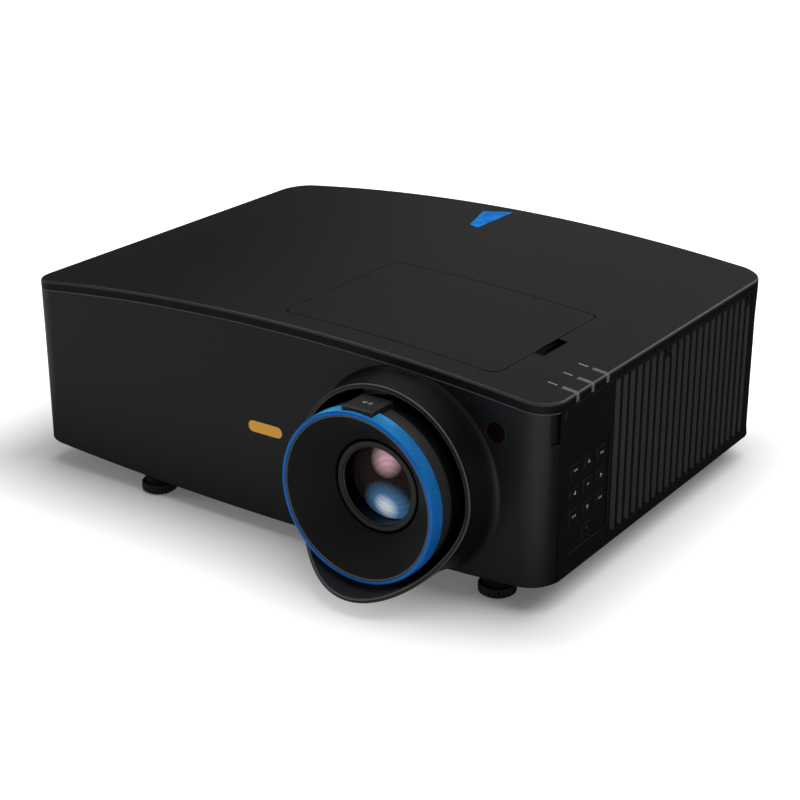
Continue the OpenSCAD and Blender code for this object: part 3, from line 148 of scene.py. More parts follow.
def plastic(name, colour, rough, ior=1.4, grain=0.0, grain_scale=2600.0):
    """Moulded plastic: fine grain in the bump, and slow changes of colour and roughness"""
    m, g, bsdf = new_mat(name)
    slow = g.noise(22.0, 3.0)
    g.put(bsdf, {"Base Color": g.mixed(slow, shade(colour, 0.88), shade(colour, 1.12)),
                 "Roughness": g.ranged(slow, rough - 0.012, rough + 0.012), "IOR": ior,
                 "Normal": g.bump(g.noise(grain_scale, 1.0), grain)})
    return m


def metal(name, colour, rough, scratch=0.25, axis=(1.0, 1.0, 14.0), weight=1.0):
    """Metal with brushed streaks in colour, roughness and bump"""
    m, g, bsdf = new_mat(name)
    stretched = g.add("Mapping", {"Vector": g.place(), "Scale": axis}).outputs["Vector"]
    streaks = g.noise(180.0, vector=stretched)
    g.put(bsdf, {"Base Color": g.mixed(streaks, shade(colour, 0.88), shade(colour, 1.1)),
                 "Roughness": g.ranged(streaks, rough * (1 - scratch), rough * (1 + scratch)),
                 "Metallic": weight, "Normal": g.bump(streaks, 0.06)})
    return m


def mottled(name, low, high, span, rough, ior, scale, detail=None):
    """Two tones in soft patches, or without a detail in the sharp cells of a board's tracks"""
    m, g, bsdf = new_mat(name)
    if detail is None:
        source = g.add("TexVoronoi", {"Scale": scale, "Vector": g.place()}).outputs["Distance"]
    else:
        source = g.noise(scale, detail)
    g.put(bsdf, {"Base Color": g.ramp(source, low, high, span), "Roughness": rough, "IOR": ior})
    return m


def glass_material(name, tint):
    """Thin polished glass, mostly clear; a faint film of dust varies its gloss"""
    m, g, bsdf = new_mat(name)
    g.put(bsdf, {"Base Color": tint, "Alpha": 0.14, "IOR": 1.52,
                 "Roughness": g.ranged(g.noise(60.0), 0.03, 0.06)})
    return m


# Painted reflections in the dome, soft patches that also glow: place from the lens axis in mm, size in
# metres, colour
DOME_DARK = (0.010, 0.006, 0.005, 1)
DOME_PAINTED_REFLECTIONS = [(2.0, 18.0, 0.0140, (0.85, 0.52, 0.58, 1)),
                (3.0, -20.0, 0.0225, (0.10, 0.32, 0.62, 1)),
                (1.0, -19.5, 0.0110, (0.90, 0.96, 1.0, 1))]


def painted_reflection_dome_material():
    """Dark brown glass with painted reflections that glow: a rose patch above the middle, a blue one with a
    pale core below it
    """
    m, g, bsdf = new_mat("dome_painted_reflections")
    spot = g.add("SeparateXYZ", {0: g.place()})

    def distance(x, z):
        return g.length(g.math("SUBTRACT", spot.outputs["X"], (LENS_X + x) * MM),
                        g.math("SUBTRACT", spot.outputs["Z"], (LENS_Z + z) * MM))

    waves = g.math("SINE", g.math("MULTIPLY", distance(7.0, 1.0), 1400.0))
    uneven = g.ranged(waves, 0.82, 1.0, -1.0, 1.0)
    colour = DOME_DARK
    for x, z, size, tint in DOME_PAINTED_REFLECTIONS:
        amount = g.ranged(distance(x, z), 1.0, 0.0, size * 0.25, size)
        colour = g.mixed(g.math("MULTIPLY", amount, uneven), colour, tint)
    # The painted reflections glow as emission as well as colouring the base
    g.put(bsdf, {"Base Color": colour, "Emission Color": colour, "Emission Strength": 0.45,
                 "Roughness": 0.25, "IOR": 1.15})
    return m


EVEN = {"scratch": 0.05, "axis": (1.0, 1.0, 1.0)}
CASE = plastic("case_plastic", (0.0045, 0.0045, 0.0047), 0.40, ior=1.45, grain=0.05)
# A pale copy of the case plastic: painted highlights on the top cover's rounded edge, and painted light on
# the chin's inside
EDGE_HIGHLIGHT = plastic("case_painted_highlight", (0.036, 0.036, 0.037), 0.34, ior=1.5)
# A darker, duller copy of the case plastic: painted shade for the sides, rear, underside and the top cover's
# rim wall
SIDE_SHADED = plastic("side_plastic", (0.0035, 0.0035, 0.0036), 0.52, ior=1.3, grain=0.05)
# A paler copy of the side plastic for the louvre blades' slanted faces: painted light
SLAT_LIT = plastic("slat_painted_light", (0.042, 0.042, 0.0425), 0.50, grain=0.05)
NOTCH = plastic("notch_plastic", (0.010, 0.010, 0.010), 0.50, grain=0.05)
KEY = plastic("key_rubber", (0.0045, 0.0045, 0.0048), 0.5, ior=1.3, grain=0.03)
# A pale copy of the key rubber: painted highlights on the keypad's rim, the keys' front-facing edges and the
# front of the zoom ring
PAINTED_HIGHLIGHT = plastic("painted_highlight_plastic", (0.022, 0.022, 0.023), 0.45)
SATIN = plastic("satin_black", (0.0045, 0.0045, 0.0048), 0.30, ior=1.5, grain=0.02)
CELL = plastic("cell_rim", (0.030, 0.030, 0.031), 0.42)
PIT = plastic("lens_pit", (0.0012, 0.0012, 0.0013), 0.30)
# A lighter copy of the lens black: painted light for the inside of the hood, which the low lamp also lights
CONE_LIT = plastic("hood_black_painted_light", (0.020, 0.020, 0.0205), 0.40, ior=1.15)
# A lighter copy of the case plastic for the collar lip's flat: painted light
LIP_LIGHT = plastic("collar_lip_painted_light", (0.024, 0.024, 0.0245), 0.40)
LEVER = plastic("lever_plastic", (0.0105, 0.0105, 0.0108), 0.36, ior=1.5)
KNOB = plastic("knob_plastic", (0.015, 0.015, 0.0152), 0.42, grain=0.05)
RUBBER = plastic("foot_rubber", (0.010, 0.010, 0.010), 0.75, grain=0.3, grain_scale=900.0, ior=1.3)
PIPE = plastic("light_pipe", (0.13, 0.13, 0.13), 0.35)
PRINT = plastic("grey_print", (0.34, 0.34, 0.34), 0.55, ior=1.2)
POWER = plastic("power_print", (0.34, 0.10, 0.045), 0.55, ior=1.2)
PILL = plastic("gold_print", (0.98, 0.50, 0.085), 0.42, grain=0.02, ior=1.3)
# Pale grey: the hood's grey lip, and painted highlights on the front cover's top edge, the collar lip's
# edges and the cell's arcs
TRIM_AND_HIGHLIGHT = plastic("grey_lip_and_painted_highlight", (0.125, 0.115, 0.115), 0.35)
ALLOY = metal("cast_alloy", (0.42, 0.43, 0.45), 0.45)
STEEL = metal("ground_steel", (0.6, 0.6, 0.62), 0.22)
SHEET = metal("plated_sheet", (0.5, 0.51, 0.52), 0.3)
SINK = metal("sink_aluminium", (0.68, 0.69, 0.7), 0.35)
COPPER = metal("copper_pipe", (0.72, 0.36, 0.2), 0.25)
BRASS = metal("laser_body", (0.5, 0.42, 0.3), 0.35)
PHOSPHOR = metal("phosphor_disc", (0.8, 0.74, 0.22), 0.4)
BLUE = metal("blue_anodised", (0.035, 0.38, 0.78), 0.32, weight=0.55, **EVEN)
BLUE_FACE_AND_RIB_SHADE = metal("blue_face_and_painted_rib_shade", (0.002, 0.19, 0.70), 0.30, weight=0.5, **EVEN)
BOARD = mottled("circuit_board", (0.01, 0.09, 0.035), (0.02, 0.17, 0.07), (0.35, 0.42), 0.28, 1.5, 220.0)
IR = mottled("ir_filter", (0.006, 0.0005, 0.0005), (0.012, 0.0008, 0.0008), (0, 1), 0.16, 1.2, 60.0, 2.0)
FOIL = mottled("blue_foil", (0.001, 0.12, 0.52), (0.004, 0.27, 0.82), (0.35, 0.65), 0.4, 1.2, 90.0, 4.0)
DOME_REFLECTION_PAINT = painted_reflection_dome_material()
GLASS = glass_material("front_glass_coated", (0.02, 0.022, 0.028, 1))
GLASS_INNER = glass_material("inner_glass_coated", (0.02, 0.03, 0.05, 1))

# ---- mesh building


def turned_in(mesh):
    """True when most faces look into the shape they enclose"""
    middle = sum((v.co for v in mesh.vertices), Vector()) / len(mesh.vertices)
    return sum((f.center - middle).dot(f.normal) * f.area for f in mesh.polygons) < 0


class Builder:
    """Collects points, faces and normals in millimetres, and makes one object of them"""

    def __init__(self):
        self.points, self.faces, self.normals, self.slots = [], [], [], []

    def point(self, p, n=None):
        self.points.append(p)
        self.normals.append(n)
        return len(self.points) - 1

    def face(self, ids, slot=0):
        self.faces.append(ids)
        self.slots.append(slot)

    def strip(self, a, b, closed=True, slot=0):
        n = len(a)
        for i in range(n if closed else n - 1):
            j = (i + 1) % n
            self.face((a[i], b[i], b[j], a[j]), slot)

    def fan(self, ring, centre):
        """Closes a ring with triangles round one point"""
        for i, p in enumerate(ring):
            self.face((centre, ring[(i + 1) % len(ring)], p))

    def mirrored(self):
        out = Builder()
        out.points = [(-p[0], p[1], p[2]) for p in self.points]
        out.normals = [n and (-n[0], n[1], n[2]) for n in self.normals]
        out.faces = [tuple(reversed(f)) for f in self.faces]
        out.slots = list(self.slots)
        return out

    def make(self, name, body, mats, slot, nodes=(), sharp=35.0):
        mesh = bpy.data.meshes.new(name)
        mesh.from_pydata([(p[0] * MM, p[1] * MM, p[2] * MM) for p in self.points], [], self.faces)
        for m in mats:
            mesh.materials.append(m)
        mesh.polygons.foreach_set("material_index", self.slots)
        mesh.polygons.foreach_set("use_smooth", [True] * len(self.faces))
        mesh.update()
        if any(n is not None for n in self.normals):
            own = [v.normal.copy() for v in mesh.vertices]
            mesh.normals_split_custom_set_from_vertices(
                [Vector(n).normalized() if n is not None else own[i] for i, n in enumerate(self.normals)])
        else:
            if turned_in(mesh):
                mesh.flip_normals()
            mesh.set_sharp_from_angle(angle=radians(sharp))
        obj = bpy.data.objects.new(name, mesh)
        bpy.context.collection.objects.link(obj)
        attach(obj, body)
        if nodes:
            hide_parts(*nodes)
        return obj


def paint_light_by_facing(b, test, slot):
    """Gives the faces whose mean normal passes a test their own slot: this paints light or shade by which
    way a face looks
    """
    for k, ids in enumerate(b.faces):
        if test(sum((Vector(b.normals[i]) for i in ids), Vector()) / len(ids)):
            b.slots[k] = slot


def corner_loop(points, radii, steps=6):
    """A closed loop whose corners are rounded, from corner points in order"""
    out = []
    n = len(points)
    for i, (p, r) in enumerate(zip(points, radii)):
        a, c = Vector(points[i - 1]), Vector(points[(i + 1) % n])
        b = Vector(p)
        u, v = (a - b).normalized(), (c - b).normalized()
        if r <= 0:
            out.append(tuple(b))
            continue
        half = acos(max(-1, min(1, u.dot(v)))) / 2
        reach = r / tan(half)
        centre = b + (u + v).normalized() * (r / sin(half))
        p0, p1 = b + u * reach, b + v * reach
        a0 = atan2(p0.y - centre.y, p0.x - centre.x)
        a1 = atan2(p1.y - centre.y, p1.x - centre.x)
        turn = (a1 - a0 + pi) % (2 * pi) - pi
        for k in range(steps + 1):
            t = a0 + turn * k / steps
            out.append((centre.x + r * cos(t), centre.y + r * sin(t)))
    return out


def rect_loop(x0, y0, x1, y1, r, steps=6):
    return corner_loop([(x0, y0), (x1, y0), (x1, y1), (x0, y1)], [r] * 4, steps)


def finer(loop, step):
    """Adds points along a loop's long sides"""
    out = []
    for i, p in enumerate(loop):
        q = loop[(i + 1) % len(loop)]
        n = max(1, ceil(hypot(q[0] - p[0], q[1] - p[1]) / step))
        out += [(p[0] + (q[0] - p[0]) * k / n, p[1] + (q[1] - p[1]) * k / n) for k in range(n)]
    return out


def side_dirs(loop):
    """For each point of a loop, the direction to its right, stretched at corners"""
    out = []
    n = len(loop)
    for i in range(n):
        a, b, c = Vector(loop[i - 1]), Vector(loop[i]), Vector(loop[(i + 1) % n])
        d0, d1 = (b - a).normalized(), (c - b).normalized()
        n0, n1 = Vector((d0.y, -d0.x)), Vector((d1.y, -d1.x))
        m = (n0 + n1).normalized()
        out.append(m / max(0.4, m.dot(n0)))
    return out


def inside(p, loops):
    odd = False
    x, y = p
    for loop in loops:
        for i, (xi, yi) in enumerate(loop):
            xj, yj = loop[i - 1]
            if (yi > y) != (yj > y) and x < (xj - xi) * (y - yi) / (yj - yi) + xi:
                odd = not odd
    return odd


def near(p, loops, gap):
    return any(abs(p[0] - q[0]) < gap and abs(p[1] - q[1]) < gap for loop in loops for q in loop)


def frame_at(place, u, v, d=0.0):
    e = 0.05
    p = Vector(place(u, v, d))
    du = (Vector(place(u + e, v, d)) - p) / e
    dv = (Vector(place(u, v + e, d)) - p) / e
    return du, dv, du.cross(dv).normalized()


def sheet(build, place, lines, grid, slot, level):
    """Faces between a closed line and its holes, with points inside on a grid"""
    xs = [p[0] for p in lines[0]]
    ys = [p[1] for p in lines[0]]
    coords = [Vector(p) for line in lines for p in line]
    pairs, base = [], 0
    for line in lines:
        pairs += [(base + i, base + (i + 1) % len(line)) for i in range(len(line))]
        base += len(line)
    x0, y0, wide, deep = min(xs), min(ys), max(xs) - min(xs), max(ys) - min(ys)
    nx = max(1, ceil(wide / grid[0]))
    ny = max(1, ceil(deep / grid[1]))
    for i in range(1, nx):
        for j in range(0, ny + 1):
            p = (x0 + wide * i / nx, y0 + deep * (j + 0.5) / (ny + 1))
            if inside(p, lines) and not near(p, lines, 2.0):
                coords.append(Vector(p))
    out = delaunay_2d_cdt(coords, pairs, [], 0, 1e-6)
    ids = [build.point(place(p.x, p.y, level), frame_at(place, p.x, p.y, level)[2]) for p in out[0]]
    for f in out[2]:
        c = sum((out[0][i] for i in f), Vector((0, 0))) / len(f)
        if inside((c.x, c.y), lines):
            build.face(tuple(ids[i] for i in f), slot)


def bevel(radius, wall, turns):
    """(inset, depth, angle) of the rings that round an edge and then run down its wall"""
    out = [(radius * (1 - sin(a)), radius * (1 - cos(a)), a) for a in turns]
    return out + ([(0, wall, pi / 2)] if wall > radius else [])


def edge_ring(build, place, points, dirs, inset, depth, turn):
    """A ring of points set in from a loop, with normals that turn from the sheet's outwards"""
    ring = []
    for p, n in zip(points, dirs):
        u, v = p[0] - n.x * inset, p[1] - n.y * inset
        du, dv, up = frame_at(place, u, v, depth)
        out_dir = (du * n.x + dv * n.y).normalized()
        ring.append(build.point(place(u, v, depth), up * cos(turn) + out_dir * sin(turn)))
    return ring


def panel(build, place, loops, grid=(20.0, 60.0), slot=0, level=0.0, steps=4, edges=(), walls=()):
    """A sheet over a 2D region. Each loop is (points, edge radius, wall depth): the outer one
    runs anticlockwise, holes clockwise. place(u, v, d) maps a point at depth d. edges and walls
    name the slots of the loops' rounded edges and walls, where they differ from the sheet's."""
    lines = []
    for points, radius, wall in loops:
        lines.append([(p[0] - n.x * radius, p[1] - n.y * radius) for p, n in zip(points, side_dirs(points))])
    sheet(build, place, lines, grid, slot, level)
    for order, (points, radius, wall) in enumerate(loops):
        turns = [pi / 2 * k / steps for k in range(steps + 1)] if radius > 0 else [pi / 2]
        rings = [edge_ring(build, place, points, side_dirs(points), inset, level + d, a)
                 for inset, d, a in bevel(radius, wall, turns)]
        for k, (a, b) in enumerate(zip(rings, rings[1:])):
            own = edges if k < len(rings) - 2 else walls
            build.strip(a, b, True, own[order] if order < len(own) else slot)


def plate(build, place, loop, level, flip=False):
    """A bare cap over one loop, at one depth, facing out or in"""
    face, point = len(build.faces), len(build.points)
    panel(build, place, [(loop, 0, 0)], level=level)
    if flip:
        build.faces[face:] = [tuple(reversed(f)) for f in build.faces[face:]]
        build.normals[point:] = [-n for n in build.normals[point:]]


def hole_wall(build, place, loop):
    """A wall along a hole's loop from depth 0 to depth 1"""
    rings = []
    for d in (0.0, 1.0):
        rings.append([build.point(place(p[0], p[1], d), Vector((n.x, n.y, 0)))
                      for p, n in zip(loop, side_dirs(loop))])
    build.strip(*rings)


def lens_place(x, y, t):
    return (LENS_X + x, RING_Y + t, LENS_Z + y)


def revolve(build, profile, n=192, place=lens_place, slot=0, radius=None):
    """Turns a profile of (radius, along) about an axis. radius(r, angle) may shape it."""
    rings = []
    for r, t in profile:
        ring = []
        for i in range(n):
            a = 2 * pi * i / n
            q = radius(r, a) if radius else r
            ring.append(build.point(place(q * cos(a), q * sin(a), t)))
        rings.append(ring)
    for a, b in zip(rings, rings[1:]):
        build.strip(b, a, True, slot)
    return rings


def rounded(profile, r, steps=3):
    """Rounds the corners of an open profile"""
    out = [profile[0]]
    for a, b, c in zip(profile, profile[1:], profile[2:]):
        a, b, c = Vector(a), Vector(b), Vector(c)
        u, v = a - b, c - b
        cut = min(r, u.length * 0.45, v.length * 0.45)
        p0, p1 = b + u.normalized() * cut, b + v.normalized() * cut
        for k in range(steps + 1):
            t = k / steps
            q = p0 * (1 - t) ** 2 + b * 2 * t * (1 - t) + p1 * t * t
            out.append((q.x, q.y))
    out.append(profile[-1])
    return out


# ---- casing

SX = HALF_W - SKIN
MID_Y = (FRONT_Y + REAR_Y) / 2
FLAT, ARC = HALF_W - CORNER_R, CORNER_R * pi / 2
SIDE_L = BODY_D - 2 * CORNER_R


def outline(s):
    """Point and outward normal on the casing's plan outline. s runs from the middle of the
    front along the right side; negative s mirrors it."""
    side = 1 if s >= 0 else -1
    s = abs(s)
    r = CORNER_R - SKIN
    if s <= FLAT:
        x, y, nx, ny = s, FRONT_Y + SKIN, 0, -1
    elif s <= FLAT + ARC:
        a = (s - FLAT) / CORNER_R - pi / 2
        x, y, nx, ny = FLAT + r * cos(a), FRONT_Y + CORNER_R + r * sin(a), cos(a), sin(a)
    elif s <= FLAT + ARC + SIDE_L:
        x, y, nx, ny = SX, FRONT_Y + CORNER_R + s - FLAT - ARC, 1, 0
    elif s <= FLAT + 2 * ARC + SIDE_L:
        a = (s - FLAT - ARC - SIDE_L) / CORNER_R
        x, y, nx, ny = FLAT + r * cos(a), REAR_Y - CORNER_R + r * sin(a), cos(a), sin(a)
    else:
        x, y, nx, ny = 2 * FLAT + 2 * ARC + SIDE_L - s, REAR_Y - SKIN, 0, 1
    return x * side, y, nx * side, ny


def on_wall(s, z, d):
    x, y, nx, ny = outline(s)
    return (x - nx * d, y - ny * d, z)


def on_top(x, y, d):
    return (x, y, top_z(max(-HALF_W, min(HALF_W, x))) - d)


def side_s(y):
    """Outline coordinate of a depth on the right side"""
    r = CORNER_R
    if y < FRONT_Y + r:
        return FLAT + r * (pi / 2 + asin((y - FRONT_Y - r) / r))
    if y > REAR_Y - r:
        return FLAT + ARC + SIDE_L + r * asin((y - REAR_Y + r) / r)
    return FLAT + ARC + y - FRONT_Y - r


def edge_run(s0, s1, z_of, step=8.0, fine=2.0):
    """Points along a wall edge between two outline coordinates, denser on the corners"""
    out, s = [], s0
    way = 1 if s1 > s0 else -1
    while (s1 - s) * way > 0.01:
        out.append((s, z_of(outline(s)[0])))
        a = abs(s)
        bends = (FLAT, FLAT + ARC + SIDE_L)
        s += way * (fine if any(b - 4 < a < b + ARC + 4 for b in bends) else step)
    out.append((s1, z_of(outline(s1)[0])))
    return out


def wall_loop(s0, s1):
    return edge_run(s0, s1, under_z) + edge_run(s1, s0, seam_z)


# Collar: lip and fillet round the lens, by the angle from +X towards +Z
LIP_R, COLLAR_R, LIP_W, FILLET_H = 74.3, 74.4, 3.6, 25.0
LIP_REACH, CHIN_REACH = 27.5, 45.4
COLLAR_N = 240


def chin(a):
    return max(0.0, -sin(a)) ** 2.04


def smooth_min(a, b, k):
    h = max(0.0, min(1.0, 0.5 + 0.5 * (b - a) / k))
    return b * (1 - h) + a * h - k * h * (1 - h)


def room(a, r=80.0):
    """Distance from the lens axis to the casing's upper or lower edge along an angle"""
    if abs(sin(a)) < 0.3:
        return 400.0
    edge_z, margin = (seam_z, -0.5) if sin(a) > 0 else (under_z, 0.5)
    for _ in range(12):
        r = (edge_z(max(-240, min(240, LENS_X + r * cos(a)))) + margin - LENS_Z) / sin(a)
    return r


def fillet_w(a):
    """Width of the fillet round the collar: wider below the lens than above it"""
    return 6.0 + 4.0 * max(0.0, cos(a + radians(35))) ** 2


def collar_end(a):
    return min(COLLAR_R + fillet_w(a), room(a))


def collar_foot(a):
    """Where the fillet ends on the front face"""
    return LENS_X + collar_end(a) * cos(a), LENS_Z + collar_end(a) * sin(a)


def collar_rows(a):
    """(radius, y) points from inside the casing over the lip to the front face"""
    face = FRONT_Y + SKIN
    tip = FRONT_Y - LIP_REACH - CHIN_REACH * chin(a)
    r_tip = LIP_R - 0.5 * chin(a)
    r_foot = smooth_min(COLLAR_R, room(a), 2.0)
    end = max(collar_end(a), r_foot)
    inner = r_tip - LIP_W
    rows = [(inner, FRONT_Y + 6.0), (inner, face), (inner, (face + tip) / 2), (inner, tip + 0.9)]
    rows += [(inner + 0.15, tip + 0.45), (inner + 0.5, tip + 0.2), (inner + 1.2, tip)]
    rows += [(r_tip - 1.2 + 1.2 * sin(t), tip + 1.2 - 1.2 * cos(t)) for t in (0.0, 0.4, 0.8, 1.2, pi / 2)]
    height = min(FILLET_H, 0.92 * (face - tip - 2.0))
    y0 = face - height
    mid = r_tip + (r_foot - r_tip) * (y0 - tip) / (face - tip)
    rows.append(((r_tip + mid) / 2, (tip + 1.2 + y0) / 2))
    for k in range(0, 21):
        u = (k / 20) ** 1.4
        rows.append((mid + (end - mid) * u, face - height * (1 - u) ** 3))
    return rows


def lip_light_slot(k, a):
    """Painted highlights in pale grey on both sides of the lip's flat, the flat itself painted lighter, and
    a paler inside for the chin, painted light where it faces up
    """
    if k in (3, 4, 5, 9, 10):
        return 3
    if k in (6, 7, 8):
        return 2
    return 1 if k < 3 and chin(a) > 0.06 else 0


def collar(b, angles):
    """One row of points per angle, joined with the next"""
    cols = []
    for a in angles:
        cols.append([b.point((LENS_X + r * cos(a), y, LENS_Z + r * sin(a))) for r, y in collar_rows(a)])
        b.normals[cols[-1][-1]] = Vector((0, -1, 0))
    for i, c in enumerate(cols):
        nxt = cols[(i + 1) % len(cols)]
        for k in range(len(c) - 1):
            b.face((c[k], c[k + 1], nxt[k + 1], nxt[k]), lip_light_slot(k, angles[i]))


def front_cover():
    b = Builder()
    ends = side_s(SEAM_FRONT) - SEAM_GAP / 2
    # The fillet takes the place of the lower edge between two angles
    angles = [radians(-90 + 360 * i / COLLAR_N) for i in range(COLLAR_N)]
    clear = [a for a in angles if room(a) - (COLLAR_R + fillet_w(a)) > 0.2]
    step = angles[1] - angles[0]
    curve = [collar_foot(a) for a in reversed(angles) if clear[0] <= a <= clear[-1]]
    low_left = edge_run(-ends, collar_foot(clear[-1] + step)[0], under_z)
    low_right = edge_run(collar_foot(clear[0] - step)[0], ends, under_z)
    pocket = side_s(POCKET_Y)
    notch = [(ends, 129.0), (pocket + 2.5, 129.0), (pocket + 0.7, 129.7), (pocket, 131.5),
             (pocket, 150.5), (pocket + 0.7, 151.4), (pocket + 2.0, 152.0), (ends, 152.0)]
    upper = edge_run(ends, -ends, seam_z)
    loop = low_left + curve + low_right + notch + upper
    dirs = side_dirs(loop)
    start, radius = len(low_left), 0.7
    bare = range(start, start + len(curve))
    rim = [p if i in bare else (p[0] - n.x * radius, p[1] - n.y * radius)
           for i, (p, n) in enumerate(zip(loop, dirs))]
    panel(b, on_wall, [(rim, 0, 0)], (10.0, 40.0))
    edge, edge_dirs = [line[bare.stop:] + line[:start] for line in (loop, dirs)]
    rings = [edge_ring(b, on_wall, edge, edge_dirs, inset, d, a)
             for inset, d, a in bevel(radius, 4.0, (0, 0.5, 1.05, pi / 2))]
    # The upper edge's rounding takes the pale grey: a painted highlight line along the seam
    before = len(low_right) + len(notch)
    pale = range(before, before + len(upper))
    for row, (p, q) in enumerate(zip(rings, rings[1:])):
        for i in range(len(p) - 1):
            b.face((p[i], q[i], q[i + 1], p[i + 1]), 3 if row < 3 and i in pale else 0)
    plate(b, on_wall, rect_loop(pocket - 0.5, 128.5, ends + 0.6, 152.5, 0.5), 2.2)
    collar(b, angles)
    return b


front_cover().make("cover_front", "casing", [CASE, EDGE_HIGHLIGHT, LIP_LIGHT, TRIM_AND_HIGHLIGHT], "cover_plastic", ["front_cover"])

# The opening under the door, its ledge and well, and the finger notch beside it
DOOR_GAP, LEDGE_W, LEDGE_D = 0.8, 4.5, 3.4
FINGER_Y0, FINGER_Y1, FINGER_X, FINGER_Z = -66.75, -31.75, DOOR_X1 + 9.0, 160.0
HINGE_X, HINGE_R = 3.2, 0.9


def top_edge():
    run = [p[0] for p in edge_run(0.0, 2 * FLAT + 2 * ARC + SIDE_L - 0.01, top_z)]
    return [outline(s)[:2] for s in run] + [outline(-s)[:2] for s in reversed(run[1:-1])]


def top_cover():
    b = Builder()
    x0, x1, y0, y1 = DOOR_X - DOOR_GAP, DOOR_X1 + DOOR_GAP, DOOR_Y - DOOR_GAP, DOOR_Y1 + DOOR_GAP
    opening = [(x0, y0), (x0, y1), (x1, y1), (x1, FINGER_Y1), (FINGER_X, FINGER_Y1), (FINGER_X, FINGER_Y0),
               (x1, FINGER_Y0), (x1, y0)]
    hole = finer(corner_loop(opening, [7.0, 7.0, 5.0, 0.0, 1.0, 1.0, 0.0, 9.5]), 12.0)
    # The outer edge's rounding takes the pale edge plastic, a painted highlight line; the rim wall below it
    # takes the side plastic, painted shade
    panel(b, on_top, [(top_edge(), 1.7, SEAM_DROP), (hole, 0.25, LEDGE_D)], (9.0, 60.0), steps=6,
          edges=(1, 0), walls=(2,))
    ledge = finer(rect_loop(x0, y0, x1, y1, 4.0), 10.0)
    inner = finer(rect_loop(x0 + LEDGE_W, y0 + LEDGE_W, x1 - LEDGE_W, y1 - LEDGE_W, 5.0), 10.0)
    panel(b, on_top, [(ledge, 0, 0), (inner[::-1], 0.3, 1.0)], level=LEDGE_D, steps=2)

    def to_floor(x, y, d):
        z = top_z(x) - 4.4
        return (x, y, z + (WELL_Z - z) * d)

    hole_wall(b, to_floor, inner[::-1])
    (kx, ky), (wx, wy) = (70.6, -95.5), (41.6, -81.5)
    knob = rect_loop(kx - 8, ky - 5, kx + 8, ky + 5, 4.9)[::-1]
    wheel = rect_loop(wx - 1.5, wy - 15.5, wx + 9.5, wy + 15.5, 0.8)[::-1]
    panel(b, lambda x, y, d: (x, y, WELL_Z - d), [(inner, 0, 0), (knob, 0.3, 2.0), (wheel, 0.3, 2.0)],
          (60.0, 60.0), steps=2)
    notch = finer(rect_loop(x1 - 2.0, FINGER_Y0, FINGER_X, FINGER_Y1, 1.0), 10.0)

    def to_notch(x, y, d):
        return (x, y, FINGER_Z + (top_z(x) - LEDGE_D - FINGER_Z) * (1 - d))

    hole_wall(b, to_notch, notch[::-1])
    plate(b, lambda x, y, d: (x, y, FINGER_Z), notch, 0)
    return b


top_cover().make("cover_top", "casing", [CASE, EDGE_HIGHLIGHT, SIDE_SHADED], "cover_plastic", ["top_cover"])


def door():
    b = Builder()
    corners = [(DOOR_X, DOOR_Y), (DOOR_X1, DOOR_Y), (DOOR_X1, DOOR_Y1), (DOOR_X, DOOR_Y1)]
    loop = finer(corner_loop(corners, [6.5, 9.0, 4.5, 6.5]), 12.0)
    panel(b, on_top, [(loop, 0.25, 3.0)], (9.0, 60.0))
    plate(b, on_top, loop, 3.0, flip=True)
    # Hinge pins at both ends
    z = top_z(HINGE_X) - 1.5
    turns = [2 * pi * i / 16 for i in range(16)]
    for y0 in (DOOR_Y - 4.0, DOOR_Y1 - 1.0):
        rings = [[b.point((HINGE_X + HINGE_R * cos(a), y, z + HINGE_R * sin(a)), Vector((cos(a), 0, sin(a))))
                  for a in turns] for y in (y0, y0 + 5.0)]
        b.strip(rings[0], rings[1])
        b.face(tuple(rings[0]))
        b.face(tuple(reversed(rings[1])))
    return b


door().make("door_panel", "door", [CASE], "cover_plastic", ["shift_door"])

KEYS = [("key_menu", -1, 1, 0), ("key_up", 0, 1, 1), ("key_auto", 1, 1, 0), ("key_left", -1, 0, 2),
        ("key_ok", 0, 0, 0), ("key_right", 1, 0, 3), ("key_back", -1, -1, 0), ("key_down", 0, -1, 4),
        ("key_source", 1, -1, 0), ("key_power", 0, -2, 0)]


def key_corners(kind, w, h):
    n, a, b = 0.16, w / 2, h / 2
    shapes = [[(-a, -b), (a, -b), (a, b), (-a, b)],
              [(-a, -b), (a, -b), (a - n * w, b), (-a + n * w, b)],
              [(a, -b), (a, b), (-a, b - n * h), (-a, -b + n * h)],
              [(-a, -b), (a, -b + n * h), (a, b - n * h), (-a, b)],
              [(-a, b), (-a + n * w, -b), (a - n * w, -b), (a, b)]]
    return shapes[kind]


def key_loop(key, grow, r):
    cy, cz = KEY_Y + key[1] * KEY_DY, KEY_Z + key[2] * KEY_DZ
    pts = [(side_s(cy + u), cz + v) for u, v in key_corners(key[3], 13.5 + 2 * grow, 11.0 + 2 * grow)]
    return corner_loop(pts, [r] * 4, 3)


SCREW_Y, SCREW_Z, SCREW_R = -116.8, 148.5, 3.5
NOTCHES = (36.5, 180.8)
NOTCH_HALF, NOTCH_Z, NOTCH_D = 4.5, 144.0, 1.6
LOUVRE_TOP = LOUVRE_Z + LOUVRE_H


